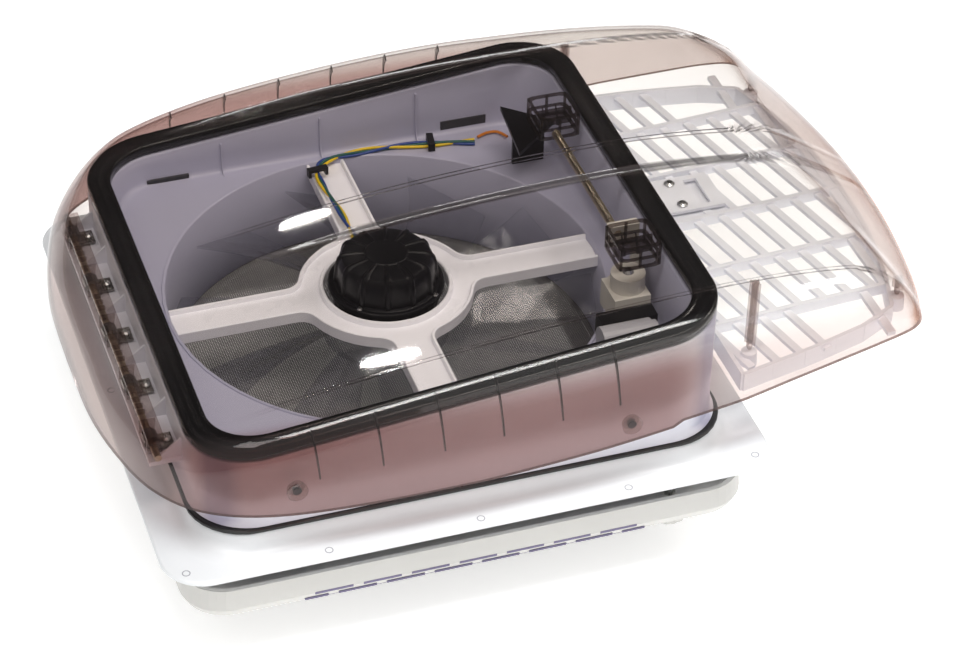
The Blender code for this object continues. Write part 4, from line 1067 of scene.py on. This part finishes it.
def woven():
    """Fine woven screen: two crossing sets of round threads with open gaps."""
    n = Nodes("woven_screen")
    tree = n.tree
    coverage = None
    height = None
    for axis in ("X", "Y"):
        position = n.math("MULTIPLY", n.axis(axis), 1.0 / MESH_PITCH)
        phase = n.math("FRACT", position, 0.0)
        centre = n.math("ABSOLUTE", n.math("SUBTRACT", phase, 0.5), 0.0)
        thread = n.span(centre, 0.29, 0.36, 1.0, 0.0)
        coverage = thread if coverage is None else n.math("MAXIMUM", coverage, thread)
        dome = n.span(centre, 0.0, 0.25, 1.0, 0.0)
        height = dome if height is None else n.math("MAXIMUM", height, dome)
    n.link(n.mix(n.noise(90.0, 2.0), (0.10, 0.10, 0.10), (0.22, 0.215, 0.21)), n.shader.inputs["Base Color"])
    n.shader.inputs["Metallic"].default_value = 0.6
    n.shader.inputs["Roughness"].default_value = 0.34
    n.bump(height, 0.8, 0.0004)
    clear = tree.nodes.new("ShaderNodeBsdfTransparent")
    mixed = tree.nodes.new("ShaderNodeMixShader")
    n.link(coverage, mixed.inputs["Fac"])
    n.link(clear.outputs["BSDF"], mixed.inputs[1])
    n.link(n.shader.outputs["BSDF"], mixed.inputs[2])
    n.link(mixed.outputs["Shader"], n.output.inputs["Surface"])
    return n.mat


CLOTH_RINGS = 30
CLOTH_SIDES = 120
CLOTH_Z = -16.6
cloth = Shape()
made = []
for step in range(CLOTH_RINGS + 1):
    share = step / CLOTH_RINGS
    r = 0.6 + 153.0 * share
    ring = []
    for k in range(CLOTH_SIDES):
        angle = 2 * math.pi * k / CLOTH_SIDES
        wave = 0.25 * math.sin(r / 17.0 + 2.0 * math.sin(2 * angle)) * math.sin(math.pi * share)
        ring.append((FAN_X + r * math.cos(angle), r * math.sin(angle), CLOTH_Z + wave))
    made.append(cloth.ring(ring))
for a, b in zip(made, made[1:], strict=False):
    cloth.bridge(a, b)
piece("screen_cloth", cloth, "vent_base", woven(), ["insect_screen"], smooth=180)


# ---- wires ------------------------------------------------------------------------------
WIRE_PATH = (
    (-9.0, 40.0), (-10.0, 50.0), (-10.5, 62.0), (-11.0, 88.0), (-14.0, 118.0), (-13.0, 138.0),
    (-2.0, 149.5), (20.0, 152.5), (50.0, 151.5), (84.0, 146.0), (108.0, 141.0),
)


WIRE_RADIUS = 1.1
WIRE_Z = SHELF_Z + 2.2
TWIST = 0.22  # radians for each point of the route


def wire(colour, offset):
    """One lead of the motor's twisted three, offset to the side of their shared route."""
    route = spline(WIRE_PATH, 10)
    points = []
    last = len(route) - 1
    for k, (x, y) in enumerate(route):
        ax, ay = route[max(k - 1, 0)]
        bx, by = route[min(k + 1, last)]
        length = math.hypot(bx - ax, by - ay)
        aside = offset * math.cos(k * TWIST) * 0.9
        sag = 0.8 * math.sin(k * TWIST + offset)
        points.append((x - (by - ay) / length * aside, y + (bx - ax) / length * aside, WIRE_Z + sag))
    shape = Shape()
    shape.tube(points, WIRE_RADIUS, 12)
    cad_node = f"wire_{colour}"
    piece(f"{colour}_lead", shape, "vent_base", SHEATHS[colour], [cad_node], smooth=60)


wire("yellow", -2.0)
wire("green", 0.2)
wire("blue", 2.2)


# ---- CAD nodes shown as they are, in their own finishes ---------------------------------
FINISHES = {
    "ceiling_bezel": WARM,
    "duct_liner": DUCT_SHADED,
    "flange_gasket": GASKET,
    "screen_frame": WARM,
    "control_panel": DARK,
    "lid_knob": WARM,
    "knob_shaft": STEEL,
    "knob_bearing": NATURAL,
    "fan_impeller": BLADE,
    "rotor_shaft": STEEL,
    "impeller_nut": STEEL,
    "motor_body": BLACK,
    "hinge_rod": BEIGE,
    "louvre_plate": LOUVRE,
    "catch_rod": BEIGE,
    "lift_rack": NATURAL,
    "lift_gearbox": NATURAL,
    "lift_bracket": BLACK,
    "gearbox_bracket": BLACK,
    "lift_motor": GREY,
    "drive_pinion": NATURAL,
    "gearbox_screw": STEEL,
    "cable_clip_1": BLACK,
    "cable_clip_2": BLACK,
    "wire_orange": SHEATHS["orange"],
}
for name, node in frame["nodes"].items():
    finish = FINISHES.get(name)
    if finish is None and "screw" in name:
        finish = STEEL
    if finish is None and name.startswith("hinge_clip"):
        finish = SPRING
    if finish is not None:
        node.data.materials.clear()
        node.data.materials.append(finish)


# ---- floor, lights and camera -----------------------------------------------------------
def pale(name, colour):
    """Matt floor that glows a little, so that it reads as near white."""
    n = Nodes(name)
    n.link(n.mix(n.noise(1.5, 2.0), scaled(colour, 0.995), colour), n.shader.inputs["Base Color"])
    n.shader.inputs["Roughness"].default_value = 0.9
    n.shader.inputs["Specular IOR Level"].default_value = 0.1
    n.shader.inputs["Emission Color"].default_value = (1.0, 1.0, 1.0, 1.0)
    n.shader.inputs["Emission Strength"].default_value = 0.42
    return n.mat


FLOOR_HALF = 4000.0
FLOOR_Z = -86.0
floor = Shape()
floor.box(-FLOOR_HALF, FLOOR_HALF, -FLOOR_HALF, FLOOR_HALF, FLOOR_Z - 9.0, FLOOR_Z)
ground = placed("floor", mesh_of("floor", floor, pale("floor_white", (0.93, 0.93, 0.93))))


def lamp(name, place, aim, power, width, height, shape="RECTANGLE"):
    """A soft lamp at place that points at aim, both in metres."""
    light = bpy.data.lights.new(name, "AREA")
    light.shape = shape
    light.size = width
    light.size_y = height
    light.energy = power
    obj = placed(name, light)
    obj.location = place
    direction = Vector(aim) - Vector(place)
    obj.rotation_euler = direction.to_track_quat("-Z", "Y").to_euler()


lamp("key", (-1.3, -0.9, 2.0), (0.0, 0.0, 0.05), 9.0, 0.9, 0.9)
lamp("tail", (1.6, 0.2, 1.6), (0.25, 0.0, 0.05), 16.0, 0.7, 0.7)
lamp("front", (0.9, -2.2, 0.9), (0.0, 0.0, 0.0), 2.0, 1.4, 0.6)
lamp("strip_near", (0.1, -0.55, 1.7), (0.0, -0.1, 0.1), 26.0, 1.5, 0.4)
lamp("glint_top", (0.078, 1.158, 1.625), (-0.045, -0.144, 0.112), 0.9, 0.15, 0.024, "ELLIPSE")
lamp("glint_spine", (-0.02, 1.575, 1.355), (-0.08, 0.0, 0.116), 0.8, 0.17, 0.018, "ELLIPSE")

# The world is brighter on the camera's side, so that the hood's top mirrors little of it.
world = bpy.data.worlds.new("studio")
bpy.context.scene.world = world
world.use_nodes = True
sky = world.node_tree
backdrop = sky.nodes["Background"]
towards = sky.nodes.new("ShaderNodeTexCoord")
split = sky.nodes.new("ShaderNodeSeparateXYZ")
sky.links.new(towards.outputs["Generated"], split.inputs["Vector"])
shade = sky.nodes.new("ShaderNodeMapRange")
shade.inputs["From Min"].default_value = -0.25
shade.inputs["From Max"].default_value = 0.35
shade.inputs["To Min"].default_value = 0.55
shade.inputs["To Max"].default_value = 0.03
sky.links.new(split.outputs["Y"], shade.inputs["Value"])
backdrop.inputs["Color"].default_value = (1.0, 1.0, 1.0, 1.0)
sky.links.new(shade.outputs["Result"], backdrop.inputs["Strength"])

camera_data = bpy.data.cameras.new("camera")
camera_data.lens = 112.97
camera_data.sensor_width = 36.0
camera_data.sensor_fit = "HORIZONTAL"
camera_data.clip_end = 20.0
camera = placed("camera", camera_data)
right = Vector((0.94813813, -0.31724135, 0.0197993))
up = Vector((0.18181734, 0.59238149, 0.78487363))
back = Vector((-0.26072311, -0.74056876, 0.61933946))
place = Vector((-0.48928, -1.57337, 1.31419))
camera.matrix_world = Matrix(
    (
        (right.x, up.x, back.x, place.x),
        (right.y, up.y, back.y, place.y),
        (right.z, up.z, back.z, place.z),
        (0.0, 0.0, 0.0, 1.0),
    )
)
bpy.context.scene.camera = camera
bpy.context.scene.view_settings.view_transform = "Standard"
bpy.context.scene.cycles.transparent_max_bounces = 32
